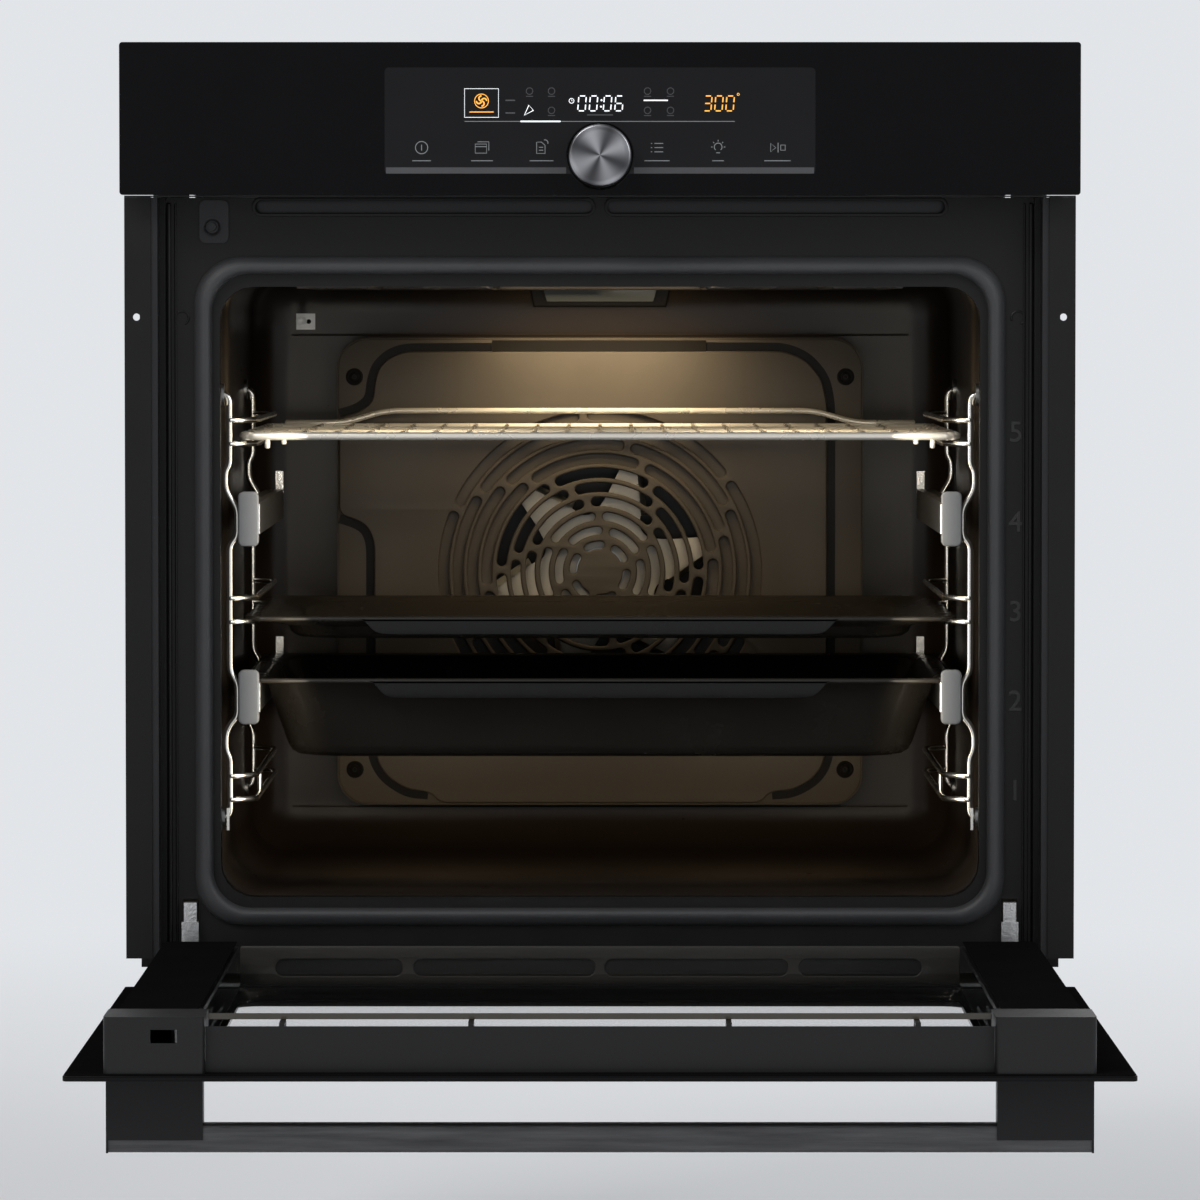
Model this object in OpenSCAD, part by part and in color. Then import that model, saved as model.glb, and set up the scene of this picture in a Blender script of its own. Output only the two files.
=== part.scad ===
// Built-in single wall oven with its door open, in millimetres.
// X runs to the right, -Y towards the user and Z up. The plane y = 0 is the front of the
// cabinet, and the origin is the middle of the base panel's front edge, on its underside.

/* [Front] */
// Width of the control panel and of the door's outer glass
front_w = 595; // [594:1:597]
// Height of the control panel's glass
panel_h = 94.4; // [92:0.1:95]
// Height of the door's outer glass
door_h = 494; // [493:1:494]
// Thickness of the outer glass and of the panel glass
glass_t = 4; // [3:1:4]
// How far the front stands out of the cabinet
front_proud = 22; // [20:1:22]

/* [Chassis] */
// Width of the metal chassis
chassis_w = 556; // [556:1:558]
// Height of the metal chassis
chassis_h = 577; // [576:1:580]
// Depth from the cabinet front to the back panel
chassis_d = 545; // [540:1:548]
// Distance between the two cabinet fixing holes
fixing_span = 577; // [576:1:578]
// Height of the cabinet fixing holes
fixing_z = 420; // [400:1:430]

/* [Cavity] */
// Inner width of the cavity
cavity_w = 480; // [479:1:481]
// Height of the cavity floor
floor_z = 53; // [52:1:54]
// Height of the cavity ceiling
ceiling_z = 449; // [448:1:450]
// Inner face of the back wall
back_y = 450; // [448:1:452]
// Height of shelf level 1
level1_z = 122.5; // [122:0.5:123]
// Distance between shelf levels
level_pitch = 56.25; // [56:0.25:56.5]

/* [Moving parts] */
// Radius of the convection fan's wheel
fan_r = 75; // [70:1:78]
// Diameter of the control knob
knob_d = 39; // [36:1:40]
// Diameter of the rack and shelf wires
wire_d = 4; // [3.5:0.5:4]

/* [Hidden] */

$fn = 48;
sheet = 1;
gap = 0.3;
front_x = front_w / 2;
chassis_x = chassis_w / 2;
cavity_x = cavity_w / 2;
glass_z0 = -2;
glass_z1 = glass_z0 + door_h;
panel_z1 = 590;
panel_z0 = panel_z1 - panel_h;
panel_back = glass_t - front_proud;

// Front frame and cavity mouth
frame_y = 22;
frame_x = 271.6;
frame_z0 = 8;
frame_z1 = panel_z0 - 1;
mouth_x = 238;
mouth_z0 = 56;
mouth_z1 = 439;
mouth_r = 22;
lip_depth = 13;
cavity_r = 26;
gasket_proud = 8;

// Door hinge: axis along X, door turned from closed to open by a quarter turn
hinge_y = -12;
hinge_z = 8;
pin_r = 3;
pin_gap = 0.05;
arm_x = 257;
arm_w = 8;
arm_t = 5.5;

// Door, in closed position: y from the cabinet front, z up from the hinge end
door_back = 13.5;
inner_t = 4;
door_front = -front_proud + glass_t;
inner_z0 = 34;
inner_z1 = 463;
cap_z0 = 444;
cap_x0 = 219;
cap_x1 = 275;
seat_x = 224;
bar_x = 273.8;
bar_y0 = -64.5;
bar_y1 = -48.5;
bar_z0 = 454;
bar_z1 = 468;

// Fan, behind the baffle
fan_z = 245.4;
baffle_x = 179;
baffle_half_h = 159;
baffle_y = 414;
ring_pitch = 9.87;
ring_r0 = 18.3;

// Side racks and telescopic rails
rack_x = 233.7;
run_x = 218;
rack_y0 = 54;
rack_y1 = 338;
rack_z0 = 103;
rack_z1 = 371;
pair_gap = 15;
rail_out_x = 228;
rail_in_x = 215.5;
rail_y0 = 48;
rail_len = 350;
cap_h = 34;
cap_t = 6;
runner_h = 20;

function level_z(n) = level1_z + level_pitch * (n - 1);
function rail_z(n) = level_z(n) + 1.5;
function corner(x, z, r, start, n) =
    [for (i = [0:n]) [x + r * cos(start + 90 * i / n), z + r * sin(start + 90 * i / n)]];
function rrect(x0, x1, z0, z1, r, n = 5) = concat(
    corner(x1 - r, z1 - r, r, 0, n), corner(x0 + r, z1 - r, r, 90, n),
    corner(x0 + r, z0 + r, r, 180, n), corner(x1 - r, z0 + r, r, 270, n));

// An outline in X and Z, from y0 back to y1
module slab(y0, y1, outline) {
    translate([0, y1, 0]) rotate([90, 0, 0]) linear_extrude(y1 - y0) polygon(outline);
}

// An outline in X and Y, from z0 up to z1
module layer(z0, z1, outline) {
    translate([0, 0, z0]) linear_extrude(z1 - z0) polygon(outline);
}

// An outline in Y and Z, from x0 to x1
module profile(x0, x1, outline) {
    translate([x0, 0, 0]) rotate([90, 0, 90]) linear_extrude(x1 - x0) polygon(outline);
}

module box(low, high) {
    translate(low) cube(high - low);
}

module rod(y0, y1, r, x = 0, z = 0) {
    translate([x, y1, z]) rotate([90, 0, 0]) cylinder(h = y1 - y0, r = r);
}

module rod_x(x0, x1, r, y, z) {
    translate([x0, y, z]) rotate([0, 90, 0]) cylinder(h = x1 - x0, r = r);
}

module both_sides() {
    children();
    mirror([1, 0, 0]) children();
}

// Bent wire with square corners, as eight-sided lengths that run past each bend
module wire(points, d = wire_d) {
    for (i = [0:len(points) - 2]) {
        step = points[i + 1] - points[i];
        run = norm(step);
        translate(points[i])
            rotate([0, acos(step[2] / run), atan2(step[1], step[0])])
                translate([0, 0, -0.45 * d])
                    cylinder(h = run + 0.9 * d, d = d, $fn = 8);
    }
}

// What is drawn inside is placed as on the closed door, and this opens it
module on_door() {
    translate([0, hinge_y, hinge_z]) rotate([90, 0, 0]) translate([0, -hinge_y, -hinge_z])
        children();
}

// ---- Chassis ----

module base_panel() {
    color("silver") difference() {
        union() {
            box([-chassis_x + sheet, -1, 0], [chassis_x - sheet, chassis_d - sheet, sheet]);
            both_sides() box([chassis_x - 2 * sheet, 40, 0], [chassis_x - sheet, 530, 12]);
        }
        for (x = [-180:40:180]) layer(-1, 2, rrect(x - 14, x + 14, 470, 476, 2.9));
    }
}

module side_panels() {
    color("silver") both_sides() difference() {
        union() {
            box([chassis_x - sheet, 1, 0], [chassis_x, chassis_d - sheet, chassis_h - sheet]);
            box([frame_x + 1, 24, frame_z0], [chassis_x - sheet, 25, frame_z1]);
        }
        for (z = [470:14:540])
            profile(chassis_x - 5, chassis_x + 5, rrect(360, 440, z, z + 5, 2.4));
        for (z = [40:14:82])
            profile(chassis_x - 5, chassis_x + 5, rrect(360, 440, z, z + 5, 2.4));
    }
}

module top_panel() {
    color("silver") difference() {
        box([-chassis_x, 1, chassis_h - sheet], [chassis_x, chassis_d - sheet, chassis_h]);
        for (x = [-200:25:200]) layer(chassis_h - 5, chassis_h + 5, rrect(x - 3, x + 3, 60, 130, 2.9));
    }
}

module back_panel() {
    color("silver") difference() {
        box([-chassis_x, chassis_d - sheet, 0], [chassis_x, chassis_d, chassis_h]);
        for (ring = [1:3], turn = [0:30:330])
            rod(chassis_d - 5, chassis_d + 5, 4, 14 * ring * cos(turn), fan_z + 14 * ring * sin(turn));
        box([-205, chassis_d - 5, 505], [-165, chassis_d + 5, 525]);
    }
}

module front_frame() {
    slot_z = 485;
    color("dimgray") difference() {
        union() {
            slab(frame_y, frame_y + sheet, rrect(-frame_x, frame_x, frame_z0, frame_z1, 2));
            slab(frame_y, frame_y + lip_depth,
                rrect(-mouth_x - sheet, mouth_x + sheet, mouth_z0 - sheet, mouth_z1 + sheet, mouth_r));
        }
        slab(frame_y - 1, frame_y + lip_depth + 1,
            rrect(-mouth_x, mouth_x, mouth_z0, mouth_z1, mouth_r - sheet));
        both_sides() {
            slab(frame_y - 1, frame_y + 2, rrect(5, 215.5, slot_z, slot_z + 8, 3.9));
            box([arm_x - 5, frame_y - 1, 28], [arm_x + 5, frame_y + 2, 55]);
        }
        rod(frame_y - 1, frame_y + 2, 4, -242.5, 476.3);
    }
}

module side_trims() {
    inner_x = chassis_x + 1.6;
    color("dimgray") both_sides() difference() {
        union() {
            box([inner_x, -2, 19.5], [front_x - 1.5, 0, panel_z0 - 1]);
            box([inner_x, -0.1, 19.5], [inner_x + 1.5, 20, panel_z0 - 1]);
            box([chassis_x + 0.1, 12, 60], [inner_x + 0.1, 20, 90]);
            box([chassis_x + 0.1, 12, 440], [inner_x + 0.1, 20, 470]);
        }
        rod(-5, 5, 2.25, fixing_span / 2, fixing_z);
    }
}

module cavity_liner() {
    color("saddlebrown") difference() {
        slab(frame_y + sheet, back_y + sheet,
            rrect(-cavity_x - sheet, cavity_x + sheet, floor_z - sheet, ceiling_z + sheet, cavity_r));
        slab(frame_y, back_y,
            rrect(-cavity_x, cavity_x, floor_z, ceiling_z, cavity_r - sheet));
        rod(back_y - 5, back_y + 5, 8, 0, fan_z);
        both_sides() {
            rod(back_y - 5, back_y + 5, 5, 12, fan_z - 92);
            rod(back_y - 5, back_y + 5, 5, 60, 440);
        }
        rod(back_y - 5, back_y + 5, 4, -204, 417);
        box([-32, back_y - 5, 430], [32, back_y + 5, 444]);
    }
}

module insulation() {
    color("khaki") difference() {
        box([-270, frame_y + 16, 16], [270, 500, 482]);
        slab(frame_y, back_y + sheet + gap,
            rrect(-cavity_x - 1.5, cavity_x + 1.5, floor_z - 1.5, ceiling_z + 1.5, cavity_r));
        slab(back_y, 501, rrect(-60, 60, fan_z - 110, fan_z + 60, 20));
        box([-80, back_y, 420], [80, 501, 483]);
        rod(back_y, 501, 6, -204, 417);
        box([-190, 80, 42], [190, 410, floor_z - 1]);
    }
}

module door_gasket() {
    color("dimgray") difference() {
        slab(frame_y - gasket_proud, frame_y, rrect(-254, 254, 38, 458, 30, 8));
        slab(frame_y - gasket_proud - 1, frame_y + 1, rrect(-242.7, 242.7, 50, 447, 24, 8));
    }
}

// ---- Cavity fittings ----

module arc_slot(r, width, from, to) {
    rotate([90, 0, 0]) rotate([0, 0, from])
        rotate_extrude(angle = to - from) translate([r - width / 2, -3]) square([width, 6]);
}

module fan_baffle() {
    color("saddlebrown") difference() {
        slab(baffle_y, back_y,
            rrect(-baffle_x, baffle_x, fan_z - baffle_half_h, fan_z + baffle_half_h, 20));
        slab(baffle_y + sheet, back_y + 1, rrect(-baffle_x + sheet, baffle_x - sheet,
            fan_z - baffle_half_h + sheet, fan_z + baffle_half_h - sheet, 19));
        translate([0, baffle_y, fan_z])
            for (ring = [0:5], turn = [0:60:300]) {
                r = ring_r0 + ring_pitch * ring;
                web = asin(2.6 / r) + asin((2.6 + 0.17 * ring) / r);
                middle = 12.5 + 9.4 * ring + turn;
                arc_slot(r, 5.1 + 0.34 * ring, middle + web, middle + 60 - web);
            }
        for (x = [-baffle_x, baffle_x - sheet * 1.5], z = [fan_z - 110:44:fan_z + 110])
            box([x - 1, baffle_y + 10, z - 14], [x + 3, back_y - 8, z + 14]);
        both_sides() for (z = [109.7, 378.8]) rod(baffle_y - 1, baffle_y + 3, 2.2, 168, z);
    }
}

module baffle_screws() {
    color("silver") both_sides() for (z = [109.7, 378.8]) {
        rod(baffle_y - 2.2, baffle_y - 0.05, 4, 168, z);
        rod(baffle_y - 1, back_y, 2, 168, z);
    }
}

module ring_heater() {
    heater_y = 433;
    color("gray") {
        translate([0, heater_y, fan_z]) rotate([90, 0, 0]) rotate([0, 0, -82])
            rotate_extrude(angle = 344) translate([92, 0]) circle(d = 6.5);
        both_sides() rod(heater_y - 4.2, 470, 4, 92 * sin(8), fan_z - 92 * cos(8));
    }
}

module fan_motor() {
    color("silver") difference() {
        union() {
            rod(453, 458, 44, 0, fan_z);
            rod(457, 505, 34, 0, fan_z);
            rod(504, 520, 16, 0, fan_z);
            box([-58, 453, fan_z - 12], [58, 455, fan_z + 12]);
        }
        rod(450, 525, 4 + pin_gap, 0, fan_z);
    }
}

module fan_shaft() {
    color("silver") {
        rod(416.5, 518, 4, 0, fan_z);
        rod(418, 424, 7.5, 0, fan_z);
    }
}

module fan_impeller() {
    disc_y = 424;
    color("lightgray") difference() {
        union() {
            rod(disc_y, disc_y + 1, 44, 0, fan_z);
            rod(disc_y, disc_y + 12, 9, 0, fan_z);
            for (turn = [15:60:315]) translate([0, 0, fan_z]) rotate([0, turn, 0]) {
                slab(disc_y, disc_y + 1, [[-16, 30], [16, 30], [8, fan_r], [-2, fan_r]]);
                translate([-2, disc_y + 0.5, fan_r]) rotate([0, 12, 0])
                    box([0, 0, -38], [1, 15, 0]);
            }
        }
        rod(disc_y - 1, disc_y + 14, 4 - 0.1, 0, fan_z);
    }
}

module grill_heater() {
    z = 441;
    x = [-190, -150, -110, -70, 70, 110, 150, 190];
    path = [for (i = [0:7]) each (i % 2 == 0 ? [[x[i], 390, z], [x[i], 90, z]]
        : [[x[i], 90, z], [x[i], 390, z]])];
    trimmed = concat([[-60, 458, z], [-60, 420, z], [-190, 420, z]],
        [for (i = [1:14]) path[i]], [[190, 420, z], [60, 420, z], [60, 458, z]]);
    color("gray") wire(trimmed, 6);
}

module bottom_heater() {
    z = 46;
    color("gray") {
        wire([[-180, 400, z], [-180, 90, z], [180, 90, z], [180, 400, z]], 6);
        wire([[-110, 400, z], [-110, 150, z], [110, 150, z], [110, 400, z]], 6);
    }
}

module lamp_lens() {
    color("white") difference() {
        profile(-40.5, 40.5, [[449.5, 430], [449.5, 444], [436, 444], [440, 430]]);
        profile(-38, 38, [[460, 432], [460, 442], [438.5, 442], [442, 432]]);
    }
}

module lamp_housing() {
    color("silver") {
        difference() {
            box([-46, back_y + sheet + 0.1, 422], [46, 496, 452]);
            box([-44, back_y, 424], [44, 494, 450]);
        }
        rod(456, 490, 11, 0, 437);
        box([-8, 488, 430], [8, 495, 444]);
    }
    color("ivory") translate([0, 460, 437]) sphere(r = 11.5);
}

module temperature_sensor() {
    color("silver") {
        difference() {
            box([-209, back_y - 1.5, 411], [-196, back_y, 422]);
            rod(back_y - 3, back_y + 1, 2, -199.5, 416.5);
        }
        rod(390, 480, 2.5, -204, 417);
        translate([-204, 390, 417]) sphere(r = 2.6);
    }
}

// One side rack, drawn on the right
module side_rack() {
    color("silver") {
        for (y = [rack_y0, rack_y1])
            wire([[cavity_x - 4, y, rack_z1], [rack_x, y, rack_z1 - 2.5],
                [rack_x, y, rack_z0 + 2.5], [cavity_x - 4, y, rack_z0]]);
        for (level = [1, 3, 5], side = [-1, 1]) {
            z = level_z(level) + side * pair_gap / 2;
            wire([[rack_x, rack_y0, z], [run_x, rack_y0 + 14, z], [run_x, rack_y1 - 14, z],
                [rack_x, rack_y1, z]]);
        }
        wire([[run_x, 110, level_z(1) - 7.5], [run_x, 110, level_z(1) + 7.5]], 3.8);
    }
}

module side_rack_left() {
    mirror([1, 0, 0]) side_rack();
}

module side_rack_right() {
    side_rack();
}

module rack_studs() {
    color("silver") both_sides() for (y = [rack_y0, rack_y1], z = [rack_z0, rack_z1])
        translate([cavity_x, y, z]) rotate([0, -90, 0]) difference() {
            cylinder(h = 3, r = 7);
            translate([0, 0, 1]) cylinder(h = 5, r = 3);
        }
}

// ---- Telescopic rails, drawn on the right and moved to a level ----

module rail_base(n) {
    z = rail_z(n);
    web_x = rail_out_x - 1.5;
    half_h = runner_h / 2 - 0.5;
    y0 = rail_y0 + cap_t + 1;
    y1 = rail_y0 + rail_len;
    color("silver") {
        box([web_x, y0, z - half_h], [rail_out_x, y1, z + half_h]);
        for (side = [-1, 1]) translate([0, 0, z + side * (half_h - 0.75)])
            box([web_x - 4, y0, -0.75], [web_x + 1, y1, 0.75]);
        for (y = [rack_y0 + 14, rack_y1 - 14])
            box([rail_out_x - 0.2, y, z - 8], [rack_x - wire_d / 2 - gap, y + 8, z + 8]);
    }
}

module rail_slide(n) {
    z = rail_z(n);
    color("gray")
        box([rail_out_x - 5, rail_y0 + cap_t + 3, z - 7.5],
            [rail_out_x - 2, rail_y0 + rail_len - 2, z + 7.5]);
}

module rail_runner(n) {
    z = rail_z(n);
    y1 = rail_y0 + rail_len - 5;
    color("lightgray") difference() {
        union() {
            box([rail_in_x, rail_y0 + 1, z - runner_h / 2], [rail_in_x + 5.5, y1, z + runner_h / 2]);
            slab(rail_y0, rail_y0 + cap_t,
                rrect(rail_in_x, rail_out_x, z - cap_h / 2, z + cap_h / 2, 3));
            box([rail_in_x + 0.5, y1 - 5, z + 5], [rail_in_x + 5, y1 - 2, z + 22]);
        }
        box([rail_in_x + 3, rail_y0 + cap_t + 2, z - 6], [rail_in_x + 7, y1 + 1, z + 6]);
    }
}

module rail_bases() {
    both_sides() for (n = [2, 4]) rail_base(n);
}

module rail4_slide_left() {
    mirror([1, 0, 0]) rail_slide(4);
}

module rail4_slide_right() {
    rail_slide(4);
}

module rail4_runner_left() {
    mirror([1, 0, 0]) rail_runner(4);
}

module rail4_runner_right() {
    rail_runner(4);
}

module rail2_slides() {
    both_sides() rail_slide(2);
}

module rail2_runners() {
    both_sides() rail_runner(2);
}

// ---- Shelf and trays ----

module wire_shelf() {
    z = level_z(5) - pair_gap / 2 + wire_d / 2 + gap + 2.5;
    y0 = 57;
    y1 = 404;
    color("silver") {
        wire([[-226, y0, z], [226, y0, z], [226, y1, z], [-226, y1, z], [-226, y0, z]], 5);
        wire([[-225, 170, z - 0.4], [225, 170, z - 0.4]], 4);
        wire([[-225, 290, z - 0.4], [225, 290, z - 0.4]], 4);
        for (i = [-9:9]) wire([[i * 21, y0 + 0.5, z + 1], [i * 21, y1 - 0.5, z + 1]], 3);
        wire([[-204, y1, z], [-176, y1, z + 11], [176, y1, z + 11], [204, y1, z]], 4);
    }
}

// A pan with a flat rim, drawn from its rim's underside down
module pan(rim_z, depth, body_x, body_y0, body_y1, lip_x, lip_h) {
    rim_y0 = 58;
    rim_y1 = 384;
    color("dimgray") {
        difference() {
            union() {
                layer(rim_z, rim_z + 1.2, rrect(-226, 226, rim_y0, rim_y1, 12));
                layer(rim_z - depth, rim_z + 0.5, rrect(-body_x, body_x, body_y0, body_y1, 24));
            }
            layer(rim_z - depth + 1.2, rim_z + 3,
                rrect(-body_x + 1.2, body_x - 1.2, body_y0 + 1.2, body_y1 - 1.2, 23));
        }
        box([-lip_x, rim_y0 + 0.5, rim_z - lip_h], [lip_x, rim_y0 + 1.7, rim_z + 0.6]);
    }
}

module baking_tray() {
    pan(level_z(3) - pair_gap / 2 + wire_d / 2 + gap, 14, 205, 78, 368, 138, 11);
}

module deep_tray() {
    pan(rail_z(2) + runner_h / 2 + gap, 50, 200, 80, 366, 150, 12);
}

// ---- Controls ----

module control_glass() {
    color("black") difference() {
        slab(-front_proud, panel_back, rrect(-front_x, front_x, panel_z0, panel_z1, 2));
        rod(-front_proud - 1, panel_back + 1, 7, 0, 519.7);
    }
}

module control_carrier() {
    color("dimgray") difference() {
        slab(panel_back, 1, rrect(-292, 292, panel_z0 + 3, panel_z1 - 4, 3));
        slab(panel_back + 2, 2, rrect(-289, -150, panel_z0 + 6, panel_z1 - 7, 3));
        slab(panel_back + 2, 2, rrect(-147, 147, panel_z0 + 6, panel_z1 - 7, 3));
        slab(panel_back + 2, 2, rrect(150, 289, panel_z0 + 6, panel_z1 - 7, 3));
        slab(panel_back - 1, panel_back + 3, rrect(-133, 133, panel_z0 + 16, panel_z1 - 14, 3));
    }
}

module display_module() {
    color("darkgreen") difference() {
        union() {
            box([-140, -14, panel_z0 + 10], [140, -12.4, panel_z1 - 10]);
            box([-125, panel_back + 0.5, 543], [125, -13.9, 572]);
            for (x = [-110:37:112]) box([x, -12.5, 546], [x + 12, -8, 556]);
        }
        rod(-20, -5, 7.2, 0, 519.7);
    }
}

module encoder_body() {
    color("gray") difference() {
        union() {
            box([-9, -12.2, 510.7], [9, -3, 528.7]);
            rod(-17, -12, 5.5, 0, 519.7);
        }
        rod(-18, -4.5, 3 + pin_gap, 0, 519.7);
    }
}

module encoder_plunger() {
    color("silver") rod(-34, -7, 3, 0, 519.7);
}

module control_knob() {
    color("gray") difference() {
        union() {
            rod(-42, -24.4, knob_d / 2, 0, 519.7);
            rod(-24.6, -23.8, knob_d / 2 - 2, 0, 519.7);
        }
        rod(-34.5, -23, 3 + pin_gap, 0, 519.7);
    }
}

module door_switch() {
    color("dimgray") difference() {
        union() {
            slab(frame_y - 1.5, frame_y, rrect(-250.5, -232.3, 466.3, 493, 4));
            box([-249, frame_y + sheet + 0.1, 468], [-236, frame_y + 15, 485]);
        }
        rod(frame_y - 3, frame_y + 14, 2.5 + pin_gap * 2, -242.5, 476.3);
    }
}

module switch_plunger() {
    color("gray") rod(frame_y - 6.5, frame_y + 7, 2.5, -242.5, 476.3);
}

// ---- Cooling blower, above the cavity ----

module blower_housing() {
    y = 330;
    z = 525;
    color("silver") {
        for (x = [-132, 131]) difference() {
            box([x, y - 45, z - 38], [x + 1, y + 45, z + 38]);
            rod_x(x - 1, x + 2, 5, y, z);
        }
        difference() {
            box([-132, y - 45, z - 38], [132, y + 45, z + 38]);
            box([-133, y - 44, z - 37], [133, y + 44, z + 39]);
            box([-130, y - 50, z - 37], [130, y - 40, z - 10]);
        }
        box([-130, y - 200, z - 38], [130, y - 45, z - 37]);
    }
}

module blower_rotor() {
    y = 330;
    z = 525;
    color("gray") {
        rod_x(-137, 175, 4, y, z);
        for (x = [-125, 0, 123]) rod_x(x, x + 2, 30, y, z);
        for (turn = [0:20:340]) translate([0, y, z]) rotate([turn, 0, 0])
            box([-125, 24, -0.5], [125, 29.5, 0.5]);
    }
}

module blower_motor() {
    y = 330;
    z = 525;
    color("silver") difference() {
        union() {
            rod_x(140, 178, 26, y, z);
            box([132.2, y - 30, z - 3], [141, y - 18, z + 3]);
            box([132.2, y + 18, z - 3], [141, y + 30, z + 3]);
        }
        rod_x(130, 176, 4 + pin_gap, y, z);
    }
}

module terminal_block() {
    color("dimgray") difference() {
        union() {
            box([-230, chassis_d, 490], [-140, chassis_d + 14, 545]);
            box([-200, chassis_d - 20, 508], [-170, chassis_d + 1, 522]);
        }
        translate([-185, chassis_d + 7, 480]) cylinder(h = 20, r = 5.5);
        for (x = [-224, -146]) rod(chassis_d - 1, chassis_d + 20, 2, x, 540);
    }
}

// ---- Hinges ----

module hinge_arms() {
    post_y0 = frame_y - 1 - arm_t;
    color("silver") both_sides() difference() {
        profile(arm_x - arm_w / 2, arm_x + arm_w / 2, [
            [hinge_y, hinge_z - 4.4], [post_y0 + 2, hinge_z - 4.4], [frame_y - 1, hinge_z],
            [frame_y - 1, 30], [frame_y + 14, 30], [frame_y + 14, 36], [frame_y + 4, 36],
            [frame_y + 4, 53], [post_y0, 53], [post_y0, hinge_z + 4.4], [hinge_y, hinge_z + 4.4],
            [hinge_y - 4, hinge_z + 2], [hinge_y - 4, hinge_z - 2]]);
        rod_x(arm_x - 10, arm_x + 10, pin_r + pin_gap, hinge_y, hinge_z);
        rod_x(arm_x - 10, arm_x + 10, 1.5 + pin_gap, 18, 26);
    }
}

// One latch, drawn on the right: a clip that turns on a pin through the arm
module hinge_latch() {
    half = arm_w / 2 + 0.3;
    color("silver") {
        box([arm_x - half - 1, 13.9, 27.8], [arm_x + half + 1, 14.9, 41]);
        for (side = [-1, 1]) translate([arm_x + side * (half + 0.5), 0, 0])
            box([-0.5, 14.2, 23], [0.5, 20.5, 30]);
        rod_x(arm_x - half - 0.5, arm_x + half + 0.5, 1.5, 18, 26);
    }
}

module hinge_latch_left() {
    mirror([1, 0, 0]) hinge_latch();
}

module hinge_latch_right() {
    hinge_latch();
}

module hinge_cases() {
    color("silver") on_door() both_sides() difference() {
        box([arm_x - 7, -16.4, 2], [arm_x + 7, 5, 190]);
        box([arm_x - 5, -14.9, 44], [arm_x + 5, 3.5, 188]);
        box([arm_x - arm_w / 2 - 0.5, -18, 0], [arm_x + arm_w / 2 + 0.5, 6, 45]);
        rod_x(arm_x - 10, arm_x + 10, pin_r, hinge_y, hinge_z);
    }
}

module hinge_pins() {
    color("silver") both_sides() rod_x(arm_x - 7, arm_x + 7, pin_r, hinge_y, hinge_z);
}

// ---- Door, placed as when closed ----

module outer_glass() {
    color("black") on_door()
        slab(-front_proud, door_front, rrect(-front_x, front_x, glass_z0, glass_z1, 2));
}

module middle_glasses() {
    color("lightblue", 0.4) on_door() for (y = [-10, 0])
        slab(y, y + 3, rrect(-seat_x, seat_x, 30, cap_z0 - 1, 3));
}

module inner_glass() {
    outline = [[-269.5, inner_z0], [269.5, inner_z0], [269.5, cap_z0 - 0.5],
        [cap_x0 - 0.7, cap_z0 - 0.5], [cap_x0 - 0.7, inner_z1], [-cap_x0 + 0.7, inner_z1],
        [-cap_x0 + 0.7, cap_z0 - 0.5], [-269.5, cap_z0 - 0.5]];
    color("lightblue", 0.4) on_door() slab(door_back - inner_t, door_back, outline);
}

module door_side_rails() {
    back = door_back - inner_t - 0.1;
    color("dimgray") on_door() both_sides() {
        difference() {
            box([seat_x + 0.5, door_front, 24], [268, back, cap_z0 - 0.5]);
            box([seat_x + 16, door_front + 1.5, 20], [266.5, back - 1.5, cap_z0]);
            box([seat_x, -17, 20], [seat_x + 14, back - 3, cap_z0]);
        }
    }
}

module door_top_profile() {
    color("dimgray") on_door() {
        box([-cap_x0 + 0.2, door_front, 479], [cap_x0 - 0.2, 7.5, 481]);
        box([-cap_x0 + 0.2, door_front, 458], [cap_x0 - 0.2, door_front + 1.5, 480]);
        for (x = [-176.5, -71.6, 71.6, 176.5])
            box([x - 1.5, -16.6, 457], [x + 1.5, 9.4, 480.5]);
    }
}

module end_caps() {
    color("dimgray") on_door() difference() {
        both_sides() difference() {
            slab(door_front, door_back + 0.1, rrect(cap_x0, cap_x1, cap_z0, 489, 3));
            slab(door_front - 1, door_back - 2, rrect(cap_x0 + 2, cap_x1 - 2, cap_z0 - 5, 487, 2));
        }
        box([-249, -1, 485], [-234, 6.5, 490]);
    }
}

module door_bottom_rail() {
    bounds = [[-202, -123], [-116, -3], [3, 117], [124, 200]];
    color("dimgray") on_door() difference() {
        union() {
            box([-seat_x, -16, 10], [seat_x, 9, 12]);
            box([-seat_x, door_front, 10], [seat_x, door_front + 2.1, 26]);
            box([-seat_x, 7.8, 10], [seat_x, 9.3, 33]);
        }
        for (slot = bounds) layer(11.2, 13, rrect(slot[0], slot[1], -10, 0.6, 5));
    }
}

module handle_bar() {
    color("gray") on_door()
        profile(-bar_x, bar_x, rrect(bar_y0, bar_y1, bar_z0, bar_z1, 3));
}

// An arm from the glass to the bar, a lip over the bar's front and a cheek over its end
module handle_brackets() {
    lip_y = bar_y1 - 8.8;
    color("dimgray") on_door() both_sides() {
        box([221, bar_y1, bar_z0 + 1.5], [bar_x + 1.2, -front_proud, bar_z1 + 1]);
        box([221, lip_y, bar_z1], [bar_x + 1.2, bar_y1 + 1, bar_z1 + 1]);
        box([bar_x, bar_y0, bar_z0], [bar_x + 1.2, bar_y1 + 1, bar_z1 + 1]);
    }
}

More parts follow.
